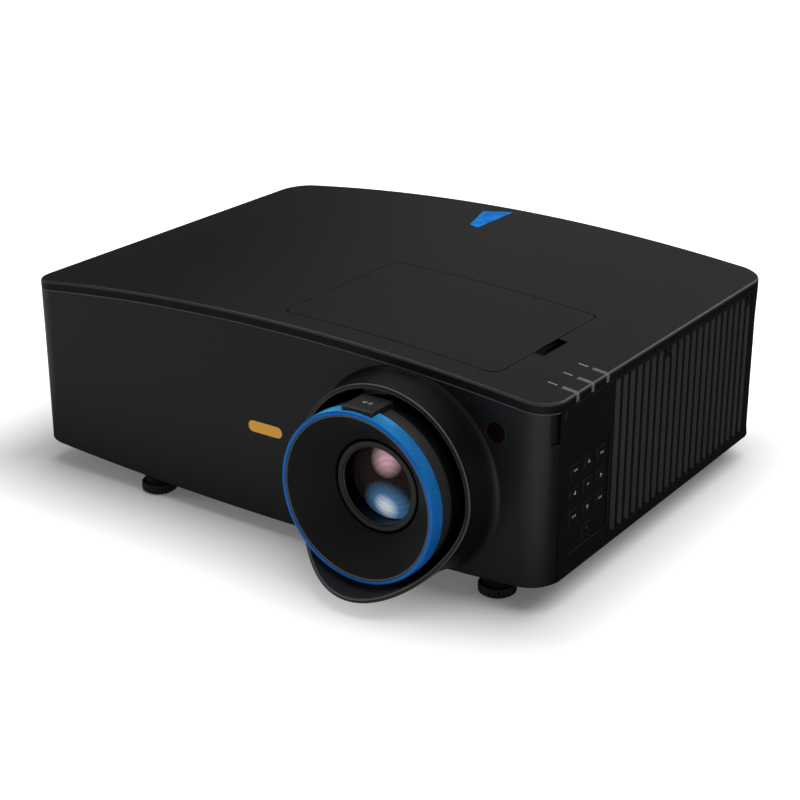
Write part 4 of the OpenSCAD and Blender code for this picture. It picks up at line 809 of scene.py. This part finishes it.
def louvre_blades():
    """Slanted blades: a slanted face in a paler plastic, which is painted light, and a flush outer strip
    with rounded edges.
    They stop short under the screw notches."""
    b = Builder()
    inner = SX - 8.0
    last = LOUVRE_Y + LOUVRE_N * LOUVRE_PITCH
    for i in range(LOUVRE_N):
        y = LOUVRE_Y + 0.5 + i * LOUVRE_PITCH
        under = any(abs(y + 5.5 - n) < NOTCH_HALF + 3.0 for n in NOTCHES)
        ring = [(inner, y), (SX - 0.35, y + 7.25), (SX, y + 7.8), (SX, y + 10.75), (SX - 0.35, y + 11.0),
                (inner, y + 3.1)]
        low = [b.point((p[0], min(p[1], last), LOUVRE_Z)) for p in ring]
        high = [b.point((p[0], min(p[1], last), NOTCH_Z - 0.3 if under else LOUVRE_TOP)) for p in ring]
        for k in range(len(ring)):
            j = (k + 1) % len(ring)
            b.face((high[k], low[k], low[j], high[j]), 1 if k == 0 else 0)
        b.face(tuple(high), 0)
    return b


def side_screw(b, y, z, depth):
    """A small recessed screw: washer face, head with a dimple"""
    def place(u, v, t):
        return (SX + 0.02 - depth - t, y + u, z + v)

    profile = [(3.3, 0.0), (3.3, -0.45), (2.7, -0.6), (1.9, -0.6), (1.5, -0.2), (0.6, 0.2), (0.01, 0.2)]
    revolve(b, profile, 40, place, slot=2)


def screw_notch(b, y):
    """Square notch at the top of the window, with its floor"""
    y0, y1 = y - NOTCH_HALF, y + NOTCH_HALF

    def row(x, points):
        return [b.point((x, u, v)) for u, v in points]

    floor = [(y0, NOTCH_Z), (y1, NOTCH_Z), (y1, LOUVRE_TOP), (y0, LOUVRE_TOP)]
    b.face(tuple(row(SX - NOTCH_D, floor)), 1)
    open_side = [floor[3], floor[0], floor[1], floor[2]]
    front = row(SX - 0.1, open_side)
    b.strip(row(SX - NOTCH_D, open_side), front, False, 0)
    under = [(u, NOTCH_Z - 0.8) for u in (y0 - 0.8, y1 + 0.8)]
    wall, lip = row(SX - 6.0, under), row(SX - 0.1, under)
    b.face((wall[0], wall[1], lip[1], lip[0]), 0)
    b.face((lip[0], lip[1], front[2], front[1]), 0)
    side_screw(b, y, 148.0, NOTCH_D)


def side_cover(keypad):
    b = Builder()
    s0 = side_s(SEAM_FRONT) + SEAM_GAP / 2
    s1 = side_s(SEAM_REAR) - SEAM_GAP / 2
    louvre_end = side_s(LOUVRE_Y + LOUVRE_N * LOUVRE_PITCH - 0.6)
    window = rect_loop(side_s(LOUVRE_Y), LOUVRE_Z, louvre_end, LOUVRE_TOP, 0.8, 3)[::-1]
    turns = [pi * i / 16 for i in range(32)]
    screw = [(side_s(SCREW_Y) + SCREW_R * cos(a), SCREW_Z - SCREW_R * sin(a)) for a in turns]
    loops = [(wall_loop(s0, s1), 0.5, 3.0), (finer(window, 30.0), 0.3, 8.0), (screw, 0.2, 1.3)]
    pad = rect_loop(side_s(KEY_Y - KEY_DY - 10.5), KEY_Z - 2 * KEY_DZ - 8.5, side_s(KEY_Y + KEY_DY + 10.5),
                    KEY_Z + KEY_DZ + 11.5, 3.0)
    if keypad:
        loops.append((pad[::-1], 0.3, 0.9))
    # The keypad's rim edge takes the pale plastic, a painted highlight, except where it faces up
    panel(b, on_wall, loops, (30.0, 40.0), edges=(0, 0, 0, 3))
    paint_light_by_facing(b, lambda n: n.z > 0.2, 0)
    side_screw(b, SCREW_Y, SCREW_Z, 1.2)
    for y in NOTCHES:
        screw_notch(b, y)
    if keypad:
        holes = [(key_loop(k, 0.45, 1.2)[::-1], 0.25, 3.0) for k in KEYS]
        panel(b, on_wall, [(pad, 0, 0)] + holes, (30.0, 30.0), level=0.9, steps=2)
    return b


for side, cover in (("right", side_cover(True)), ("left", side_cover(False).mirrored())):
    cover.make("cover_" + side, "casing", [SIDE_SHADED, NOTCH, KNOB, PAINTED_HIGHLIGHT], "side_plastic",
               [side + "_side_cover"])
louvre_blades().make("louvres_right", "casing", [SIDE_SHADED, SLAT_LIT], "side_plastic")
louvre_blades().mirrored().make("louvres_left", "casing", [SIDE_SHADED, SLAT_LIT], "side_plastic")

SOCKET_Z = 56.0
SOCKETS = [(62, 17, 8), (36, 17, 8), (8, 15, 8), (-22, 17, 14)]


def rear_panel():
    b = Builder()
    s0 = side_s(SEAM_REAR) + SEAM_GAP / 2
    total = 2 * FLAT + 2 * ARC + SIDE_L

    def place(s, z, d):
        if s <= total:
            return on_wall(s, z, d)
        x, y, zz = on_wall(2 * total - s, z, d)
        return (-x, y, zz)

    def run(a, c, z_of):
        return [(s, z_of(place(s, 0, 0)[0])) for s in [a + (c - a) * i / 90 for i in range(91)]]

    def cut(x, w, z0, h, r):
        c = total - x
        return rect_loop(c - w / 2, z0, c + w / 2, z0 + h, r, 3)[::-1], 0.3, 3.0

    loop = run(s0, 2 * total - s0, under_z) + run(2 * total - s0, s0, seam_z)
    window = cut(20.0, 116.6, 48.2, 29.6, 1.0)
    inlet = cut(-190.0, 28.6, SOCKET_Z - 0.3, 20.6, 0.8)
    panel(b, place, [(loop, 0.5, 3.0), window, inlet], (12.0, 40.0))
    return b


def connector_plate():
    """Flat plate in the rear panel's window: a hole for each socket, and a plain bar under it"""
    b = Builder()

    def place(u, v, d):
        return (-u, REAR_Y - SKIN - d, v)

    loops = [(rect_loop(-78.0, 48.5, 38.0, 77.5, 0.8, 3), 0.4, 2.9)]
    for x, w, h in SOCKETS:
        hole = rect_loop(-x - w / 2 - 0.3, SOCKET_Z - 0.3, -x + w / 2 + 0.3, SOCKET_Z + h + 0.3, 0.8, 3)
        loops.append((hole[::-1], 0.3, 2.9))
    panel(b, place, loops, (12.0, 20.0))
    for x, _, _ in SOCKETS:
        bar = ((-x - 4, 51.6), (-x + 4, 51.6), (-x + 4, 52.4), (-x - 4, 52.4))
        b.face(tuple(b.point(place(u, v, -0.03), Vector((0, 1, 0))) for u, v in bar), 1)
    return b


rear_panel().make("cover_rear", "casing", [SIDE_SHADED], "side_plastic", ["rear_panel"])
connector_plate().make("plate_sockets", "casing", [SIDE_SHADED, PRINT], "side_plastic", ["connector_plate"])

# ---- keypad

ARROWS = {"key_up": 90, "key_down": -90, "key_left": 180, "key_right": 0}


def key_mark(b, key, d):
    """Generic marks: arrows, a ring with a bar for power, plain bars for the others"""
    cy, cz = side_s(KEY_Y + key[1] * KEY_DY), KEY_Z + key[2] * KEY_DZ

    def poly(points):
        ids = [b.point(on_wall(cy + u, cz + v, d), Vector((1, 0, 0))) for u, v in points]
        b.face(tuple(ids), 1)

    if key[0] in ARROWS:
        c, s = cos(radians(ARROWS[key[0]])), sin(radians(ARROWS[key[0]]))
        poly([(u * c - v * s, u * s + v * c) for u, v in [(2.0, 0.0), (-1.2, 1.9), (-1.2, -1.9)]])
    elif key[0] == "key_power":
        gap, r0, r1 = 0.7, 1.3, 1.9
        turns = [pi / 2 + gap + (2 * pi - 2 * gap) * i / 20 for i in range(21)]
        for t0, t1 in zip(turns, turns[1:]):
            poly([(r0 * cos(t1), r0 * sin(t1)), (r1 * cos(t1), r1 * sin(t1)), (r1 * cos(t0), r1 * sin(t0)),
                  (r0 * cos(t0), r0 * sin(t0))])
        poly([(-0.3, 0.2), (0.3, 0.2), (0.3, 2.2), (-0.3, 2.2)])
    else:
        for u in (-1.4, 0.4) if key[0] == "key_ok" else (-2.7, -1.3, 0.1, 1.5):
            poly([(u, -0.75), (u + 0.9, -0.75), (u + 0.9, 0.75), (u, 0.75)])


for key in KEYS:
    b = Builder()
    panel(b, on_wall, [(key_loop(key, 0.0, 1.0), 0.5, 3.0)], (40.0, 40.0), level=0.75)
    # Key edges that face the front get the pale plastic: a painted highlight
    paint_light_by_facing(b, lambda n: n.y < -0.35, 2)
    key_mark(b, key, 0.68)
    mark = POWER if key[0] == "key_power" else PRINT
    b.make(key[0] + "_cap", key[0], [KEY, mark, PAINTED_HIGHLIGHT], "key_rubber", [key[0]])

# ---- lens

# Blue ring: bevelled front face and a finely ribbed outer band, whose every second flank takes the darker
# blue as painted shade
RIB_N, RIB_H = 250, 0.2
b = Builder()
face = [(61.85, 0.9), (61.85, 0.25), (62.1, 0.0), (63.7, 0.0), (64.35, 0.35), (64.55, 0.95)]
revolve(b, rounded(face, 0.15, 2), 240, slot=1)
start = len(b.faces)
revolve(b, [(64.3, 0.8), (64.6, 1.3), (64.95, 12.3), (64.5, 12.9)], RIB_N * 2,
        radius=lambda r, a: r + (RIB_H if round(a * RIB_N / pi) % 2 else -RIB_H))
# Every second flank darker: painted shade that shows the ribs
b.slots[start:] = [k % 2 for k in range(len(b.faces) - start)]
revolve(b, [(64.6, 12.8), (64.3, 13.2), (61.1, 13.2), (61.1, 2.9), (61.85, 2.9), (61.85, 0.9)], 240)
b.make("ring_blue", "focus_ring", [BLUE, BLUE_FACE_AND_RIB_SHADE], "blue_ring", ["focus_ring"], 30.0)

# Hood: grey lip, then a cone of fine steps, its black painted lighter for light bounced into the hood
GROOVES, CONE_R0, CONE_R1, CONE_DEEP = 27, 60.4, 36.2, 24.2


def cone_step(i):
    return CONE_R0 - (CONE_R0 - CONE_R1) * i / GROOVES, 1.0 + CONE_DEEP * i / GROOVES


cone = []
for i in range(GROOVES):
    r, t = cone_step(i + 1)
    cone += [cone_step(i), (r + 0.22, t - 0.12)]
cone += [(36.1, 25.4), (36.1, 28.0), (38.4, 28.0), (38.4, 25.6), (59.4, 7.5), (59.4, 2.6)]
b = Builder()
revolve(b, cone, 240)
revolve(b, [(59.4, 2.6), (61.6, 2.6), (61.75, 2.3), (61.75, 0.8), (61.5, 0.45), (60.7, 0.45), (60.4, 1.0)],
        240, slot=1)
b.make("hood_cone", "lens_unit", [CONE_LIT, TRIM_AND_HIGHLIGHT], "lens_black", ["lens_hood"], 25.0)


def satin_tube(name, body, profile, node):
    b = Builder()
    revolve(b, rounded(profile, 0.3, 2))
    b.make(name, body, [SATIN], "lens_black", [node])


# Barrel, seen between the rings and inside the collar
satin_tube("barrel", "lens_unit", [
    (59.6, 2.6), (61.0, 2.6), (61.0, 30.0), (63.5, 30.0), (63.5, 42.0), (54.0, 56.0), (54.0, 94.0),
    (51.0, 94.0), (51.0, 55.0), (59.0, 42.0), (59.0, 36.0), (40.0, 36.0), (40.0, 136.0), (37.0, 136.0),
    (37.0, 32.0), (59.4, 32.0), (59.6, 2.6)], "lens_barrel")


def zoom_ring():
    """The ring, and its lever plate that runs flat over the focus ring"""
    b = Builder()
    z0, z1, r0, r1 = 13.6, 29.6, 61.1, 64.0
    # The ring's front part takes the pale plastic, a painted highlight next to the blue ring; its rear is
    # satin black
    painted_light_end = z0 + 11.0
    revolve(b, rounded([(r0, z0), (r1, z0), (r1, painted_light_end)], 0.4, 3))
    revolve(b, rounded([(r1, painted_light_end), (r1, z1), (r0, z1), (r0, z0)], 0.4, 3), slot=2)
    w, under, front = 13.0, 65.5, 3.2
    top, back = under + 1.7, z1 - 0.5
    section = [(front, under + 0.25), (front + 0.15, under + 0.7), (front + 1.4, top - 0.1),
               (front + 2.2, top), (z1 - 1.2, top), (back, top - 0.5), (back, 63.6)]
    xs = [-w + 2 * w * i / 12 for i in range(13)]
    lower = [[b.point(lens_place(x, sqrt(under ** 2 - x * x), t)) for x in xs] for t in (z0, front + 0.1)]
    rows = [[b.point(lens_place(x, h - (0.35 if x in (xs[0], xs[-1]) else 0.0), t)) for x in xs]
            for t, h in section]
    for p, q in zip(lower + rows, lower[1:] + rows):
        b.strip(p, q, False, 3)
    for k, x in ((0, -w), (-1, w)):
        base = [b.point(lens_place(x, sqrt(63.5 ** 2 - x * x), t)) for t in (back, z0)]
        side = [row[k] for row in rows] + base + [row[k] for row in lower]
        b.face(tuple(side if k == 0 else reversed(side)), 3)
    # A generic double arrow on the plate
    head = [(1.6, 14.0), (4.6, 16.0), (1.6, 18.0)]
    bar = [(-3.2, 15.7), (3.2, 15.7), (3.2, 16.3), (-3.2, 16.3)]
    for shape in ([(-x, t) for x, t in head[::-1]], head, bar):
        b.face(tuple(b.point(lens_place(x, top + 0.06, t)) for x, t in shape), 1)
    return b


zoom_ring().make("ring_zoom", "zoom_ring", [PAINTED_HIGHLIGHT, PRINT, SATIN, LEVER], "lens_black",
                 ["zoom_ring"], 30.0)

# Focus cell: bright front rim, then dark steps with fine bright arcs behind the glass: the arcs are painted
# highlights, thin ridges in pale grey
b = Builder()
revolve(b, rounded([(34.6, 44.0), (34.6, 26.4), (34.2, 25.7), (33.6, 25.6)], 0.25, 2), slot=2)
revolve(b, [(33.6, 25.6), (30.7, 25.6), (30.1, 25.9)], slot=1)
revolve(b, rounded([
    (30.1, 25.9), (29.5, 26.8), (28.9, 27.4), (28.9, 28.2), (30.3, 28.2), (30.3, 42.0), (27.5, 42.6),
    (27.5, 44.0), (26.2, 44.2), (26.2, 47.0), (24.6, 47.3), (24.6, 50.0), (22.4, 50.8), (22.4, 64.0),
    (36.9, 64.0), (36.9, 44.0), (34.6, 44.0)], 0.25, 2), slot=2)
# Thin ridges in pale grey: painted highlights on the steps' edges
for r, t in ((29.6, 26.7), (27.6, 43.2), (26.3, 45.6), (24.7, 48.8)):
    revolve(b, [(r - 0.02, t - 0.3), (r - 0.4, t), (r - 0.02, t + 0.3)], slot=3)
b.make("cell_front", "focus_cell", [SATIN, CELL, PIT, TRIM_AND_HIGHLIGHT], "lens_black", ["focus_cell"], 30.0)


def sag(q, r, bulge):
    """How far a round face lies behind its middle at a distance q from the axis"""
    ball = arc_radius(r, bulge)
    return ball - sqrt(ball * ball - q * q)


def lens_element(name, body, r, t0, thick, bulge_f, bulge_b, mat, node):
    """A polished lens: two spherical faces and a rim between them"""
    b = Builder()
    steps = [r * k / 26 for k in range(1, 27)]
    front = [(q, t0 + sag(q, r, bulge_f)) for q in steps]
    back = [(q, t0 + thick - sag(q, r, bulge_b)) for q in reversed(steps)]
    rings = revolve(b, front + back, 128)
    b.faces = [tuple(reversed(f)) for f in b.faces]
    b.fan(rings[0][::-1], b.point(lens_place(0, 0, t0)))
    b.fan(rings[-1], b.point(lens_place(0, 0, t0 + thick)))
    b.make(name, body, [mat], "glass", [node], 40.0)


def painted_reflection_dome():
    """The second element, seen as a dark dome with soft patches of painted reflection, which glow"""
    b = Builder()
    r, bulge, t0, n = 29.6, 6.0, 33.0, 24
    rings = revolve(b, [(r * k / n, t0 + sag(r * k / n, r, bulge)) for k in range(n, 0, -1)], 128)
    b.fan(rings[-1], b.point(lens_place(0, 0, t0)))
    return b


lens_element("glass_front", "focus_cell", 30.2, 28.3, 13.4, 5.2, 2.5, GLASS, "front_glass")
painted_reflection_dome().make("dome_glowing_reflection_paint", "focus_cell", [DOME_REFLECTION_PAINT], "glass")
satin_tube("cell_zoom", "zoom_cell", [
    (24.8, 84.0), (36.9, 84.0), (36.9, 104.0), (26.4, 104.0), (26.4, 86.0), (24.8, 86.0), (24.8, 84.0)],
    "zoom_cell")
lens_element("glass_zoom", "zoom_cell", 26.2, 86.2, 10.0, 3.4, 3.4, GLASS_INNER, "zoom_glass")

# ---- small pieces

PIPE_YS = (-102.1, -80.6, -59.1)
PIPE_HALF, PIPE_EDGE = 2.2, 0.25


def pipe_line():
    """(x, z) and normal of a light pipe's path, over the top edge and down the side"""
    out = []
    for k in range(6):
        x = 232.6 + (242.8 - 232.6) * k / 5
        out.append((x, top_z(x) + 0.12, 0.0, 1.0))
    for k in range(1, 7):
        a = pi / 2 * k / 6
        out.append((SX - 1.7 + 1.8 * sin(a), top_z(SX) - 1.7 + 1.82 * cos(a), sin(a), cos(a)))
    return out + [(SX + 0.1, 154.2, 1.0, 0.0)]


pipes = Builder()
for y in PIPE_YS:
    rings = []
    y0, y1 = y - PIPE_HALF, y + PIPE_HALF
    for v, low in ((y0, PIPE_EDGE), (y0 + PIPE_EDGE, 0.0), (y1 - PIPE_EDGE, 0.0), (y1, PIPE_EDGE)):
        rings.append([pipes.point((x - nx * low, v, z - nz * low)) for x, z, nx, nz in pipe_line()])
    for p, q in zip(rings, rings[1:]):
        pipes.strip(p, q, False)
pipes.make("light_pipes", "casing", [PIPE], "light_pipe", ["indicator_light_pipes"], 60.0)


def receiver_window():
    """A shallow dome in a thin dark rim"""
    b = Builder()

    def place(x, z, d):
        return (202.8 + x, FRONT_Y + SKIN + d, 134.1 + z)

    revolve(b, [(8.1, 0.0), (7.9, -0.08), (7.6, -0.08), (7.5, 0.0)], 96, place, slot=1)
    rings = revolve(b, [(7.5, 0.0), (6.0, -0.05), (3.0, -0.09)], 96, place)
    b.fan(rings[-1], b.point(place(0, 0, -0.1)))
    return b


receiver_window().make("ir_dome", "casing", [IR, LEVER], "ir_filter", ["ir_window"], 60.0)


def printed(name, loop, place, mat, level=-0.08):
    b = Builder()
    panel(b, place, [(loop, 0.12, 0.1)], (12.0, 12.0), level=level, steps=2)
    b.make(name, "casing", [mat], "cover_plastic")


FOIL_CORNERS = [(-17.1, 190.7), (-4.9, 150.3), (5.7, 144.9), (6.6, 202.8)]
printed("pill_edge", rect_loop(-18.3, 81.8, 15.1, 92.0, 5.0), on_wall, PIT, level=-0.03)
printed("pill_mark", rect_loop(-17.8, 82.3, 14.6, 91.5, 4.5), on_wall, PILL)
printed("foil_mark", corner_loop(FOIL_CORNERS, [1.5] * 4), on_top, FOIL)
for i, y in enumerate(PIPE_YS):
    printed("pipe_mark_%d" % i, rect_loop(221.0, y - 0.6, 228.5, y + 0.6, 0.5), on_top, PRINT)

# Feet: ribbed rings with a dished top, each on a rubber pad
RIB_FROM, RIB_DEEP = 13.0, 0.95
FOOT = rounded([(4.0, 30.0), (4.0, 4.0), (12.5, 4.0), (12.5, 8.5), (14.25, 8.5), (14.25, 1.6), (3.0, 1.6),
                (3.0, 2.0)], 0.7, 3)[::-1]
PAD = rounded([(0.5, 0.0), (11.3, 0.0), (11.8, 0.6), (11.8, 1.45), (0.5, 1.45)], 0.3, 2)


def ribbed(r, a):
    return r if r < RIB_FROM else r - RIB_DEEP * (0.5 - 0.5 * cos(24 * a)) ** 2


def foot(side, x, y):
    def place(px, py, t):
        return (x + px, y + py, t)

    b = Builder()
    revolve(b, FOOT, 288, place, radius=ribbed)
    b.make("foot_" + side, side + "_foot", [KNOB], "knob_plastic", [side + "_foot"], 40.0)
    b = Builder()
    revolve(b, PAD, 96, place)
    b.make("pad_" + side, side + "_foot_pad", [RUBBER], "foot_rubber", [side + "_foot_pad"], 40.0)


foot("left", -124.5, FRONT_Y + 11.6)
foot("right", 195.3, FRONT_Y + 19.0)

# ---- finishes of the solids that stay

FINISH = {
    SIDE_SHADED: ["base_tray"], KNOB: ["cover_screws"], RUBBER: ["rear_feet"],
    STEEL: ["horizontal_rails", "vertical_rails"], BOARD: ["keypad_board", "dmd_board", "main_board"],
    ALLOY: ["shift_frame", "horizontal_carriage", "vertical_carriage", "light_engine"],
    LEVER: ["horizontal_shift_wheel", "vertical_shift_knob", "fan_frames", "intake_fan_rotor",
            "exhaust_fan_rotor_a", "exhaust_fan_rotor_b", "ac_inlet"],
    SINK: ["dmd_heatsink", "laser_heatsink"], COPPER: ["heat_pipes"], BRASS: ["laser_module"],
    PHOSPHOR: ["phosphor_wheel"],
    SHEET: ["phosphor_motor", "power_supply", "hdmi_sockets", "lan_socket", "usb_socket"],
}
for mat, names in FINISH.items():
    for name in names:
        for s in NODES[name].material_slots:
            s.material = mat

# ---- stage, lights, camera

# Light levels: floor glow to the camera, floor in reflections in front and behind, sky in
# reflections at two heights, and sky on matt surfaces
FLOOR_GLOW, FLOOR_FRONT, FLOOR_REAR = 0.86, 0.43, 0.03
SKY_MID, SKY_HIGH, SKY_MATT = 0.22, 0.22, 0.20
FLOOR_HALF = 30.0


def outside(g, value, half, middle):
    """How far a coordinate lies outside a span"""
    centred = g.math("ABSOLUTE", g.math("SUBTRACT", value, middle))
    return g.math("MAXIMUM", g.math("SUBTRACT", centred, half), 0.0)


def floor_stage():
    """White floor: it glows for the camera away from the object and less near it, a painted shadow round the
    object on top of the lamps' real one; and it glows softly for reflections
    """
    m, g, bsdf = new_mat("floor")
    g.nodes.remove(bsdf)
    spot = g.add("SeparateXYZ", {0: g.add("NewGeometry", {}).outputs["Position"]})
    x, y = spot.outputs["X"], spot.outputs["Y"]
    far = g.length(outside(g, x, HALF_W * MM, -0.02), outside(g, y, BODY_D * MM / 2, MID_Y * MM))
    # Less glow near the object: painted shadow that deepens the real shadow
    seen = g.ranged(far, 0.10, FLOOR_GLOW, 0.0, 0.14)
    front = g.ranged(y, FLOOR_FRONT, FLOOR_REAR, -0.28, -0.12)
    beside = g.ranged(x, 1.0, 2.2, 0.22, 0.36)
    left = g.math("MULTIPLY", g.ranged(x, 0.5, 0.0, -0.44, -0.32), g.ranged(y, 0.0, 1.0, -0.26, -0.18))
    mirrored = g.math("MAXIMUM", g.math("MULTIPLY", front, beside), left)
    path = g.add("LightPath", {})
    diffuse = g.add("BsdfDiffuse", {"Color": (0.8, 0.8, 0.8, 1)})
    glow = g.add("Emission", {"Strength": g.math("MULTIPLY", path.outputs["Is Camera Ray"], seen)})
    lit = g.add("AddShader", {0: diffuse.outputs[0], 1: glow.outputs[0]})
    soft = g.add("Emission", {"Strength": mirrored})
    pick = g.add("MixShader", {0: g.mirror_ray(path), 1: lit.outputs[0], 2: soft.outputs[0]})
    g.put(g.nodes["Material Output"], {"Surface": pick.outputs[0]})
    mesh = bpy.data.meshes.new("floor")
    s = FLOOR_HALF
    mesh.from_pydata([(-s, -s, 0), (s, -s, 0), (s, s, 0), (-s, s, 0)], [], [(0, 1, 2, 3)])
    mesh.materials.append(m)
    obj = bpy.data.objects.new("floor", mesh)
    bpy.context.collection.objects.link(obj)


def studio_world():
    """White to the camera; dark above the horizon to reflections; dim to matt surfaces"""
    world = bpy.data.worlds.new("studio")
    bpy.context.scene.world = world
    world.use_nodes = True
    g = Graph(world.node_tree)
    way = g.add("SeparateXYZ", {0: g.add("TexCoord", {}).outputs["Generated"]})
    low = g.ranged(way.outputs["Z"], 1.0, SKY_MID, 0.0, 0.10)
    high = g.ranged(way.outputs["Z"], SKY_MID, SKY_HIGH, 0.10, 0.60)
    across = g.ranged(way.outputs["X"], 0.0, 1.0, -0.66, -0.50)
    sky = g.math("MINIMUM", low, g.math("MULTIPLY", high, across))
    path = g.add("LightPath", {})
    level = g.math("ADD", g.math("MULTIPLY", g.mirror_ray(path), sky),
                   g.math("MULTIPLY", path.outputs["Is Diffuse Ray"], SKY_MATT))
    g.put(g.nodes["Background"], {"Strength": g.math("ADD", level, path.outputs["Is Camera Ray"]),
                                  "Color": (1, 1, 1, 1)})


floor_stage()
studio_world()


def lamp(name, place, target, size, power, glossy):
    """A soft box; it either lights matt surfaces or is mirrored, and the camera never sees it"""
    data = bpy.data.lights.new(name, "AREA")
    data.shape = "RECTANGLE"
    data.size, data.size_y = size
    data.energy = power
    obj = bpy.data.objects.new(name, data)
    bpy.context.collection.objects.link(obj)
    obj.location = place
    obj.rotation_euler = (Vector(target) - Vector(place)).to_track_quat("-Z", "Y").to_euler()
    obj.visible_camera = False
    obj.visible_glossy = glossy
    obj.visible_diffuse = not glossy


lamp("overhead", (0.5, 0.5, 2.0), (0, 0, 0.1), (2.6, 2.6), 45, False)
lamp("left_box", (-1.0, 0.35, 1.55), (0, 0, 0.1), (1.1, 1.1), 3, True)
lamp("low_left", (-1.6, -0.9, 0.22), (0.12, -0.2, 0.09), (0.6, 0.4), 10, False)
lamp("back_box", (0.72, 1.44, 1.05), (0, 0, 0.1), (1.0, 0.7), 4, True)

EYE, AZ, EL, ROLL = (0.7862, -1.0952, 0.6169), radians(34.79), radians(22.31), radians(-0.12)
back = Vector((sin(AZ) * cos(EL), -cos(AZ) * cos(EL), sin(EL)))
right = Vector((cos(AZ), sin(AZ), 0))
turn = Matrix((right, back.cross(right), back)).transposed()
camera = bpy.data.objects.new("camera", bpy.data.cameras.new("camera"))
bpy.context.collection.objects.link(camera)
camera.data.lens, camera.data.sensor_width = 79.67, 36.0
camera.matrix_world = Matrix.Translation(EYE) @ turn.to_4x4() @ Matrix.Rotation(ROLL, 4, "Z")
bpy.context.scene.camera = camera
bpy.context.scene.view_settings.view_transform = "Standard"
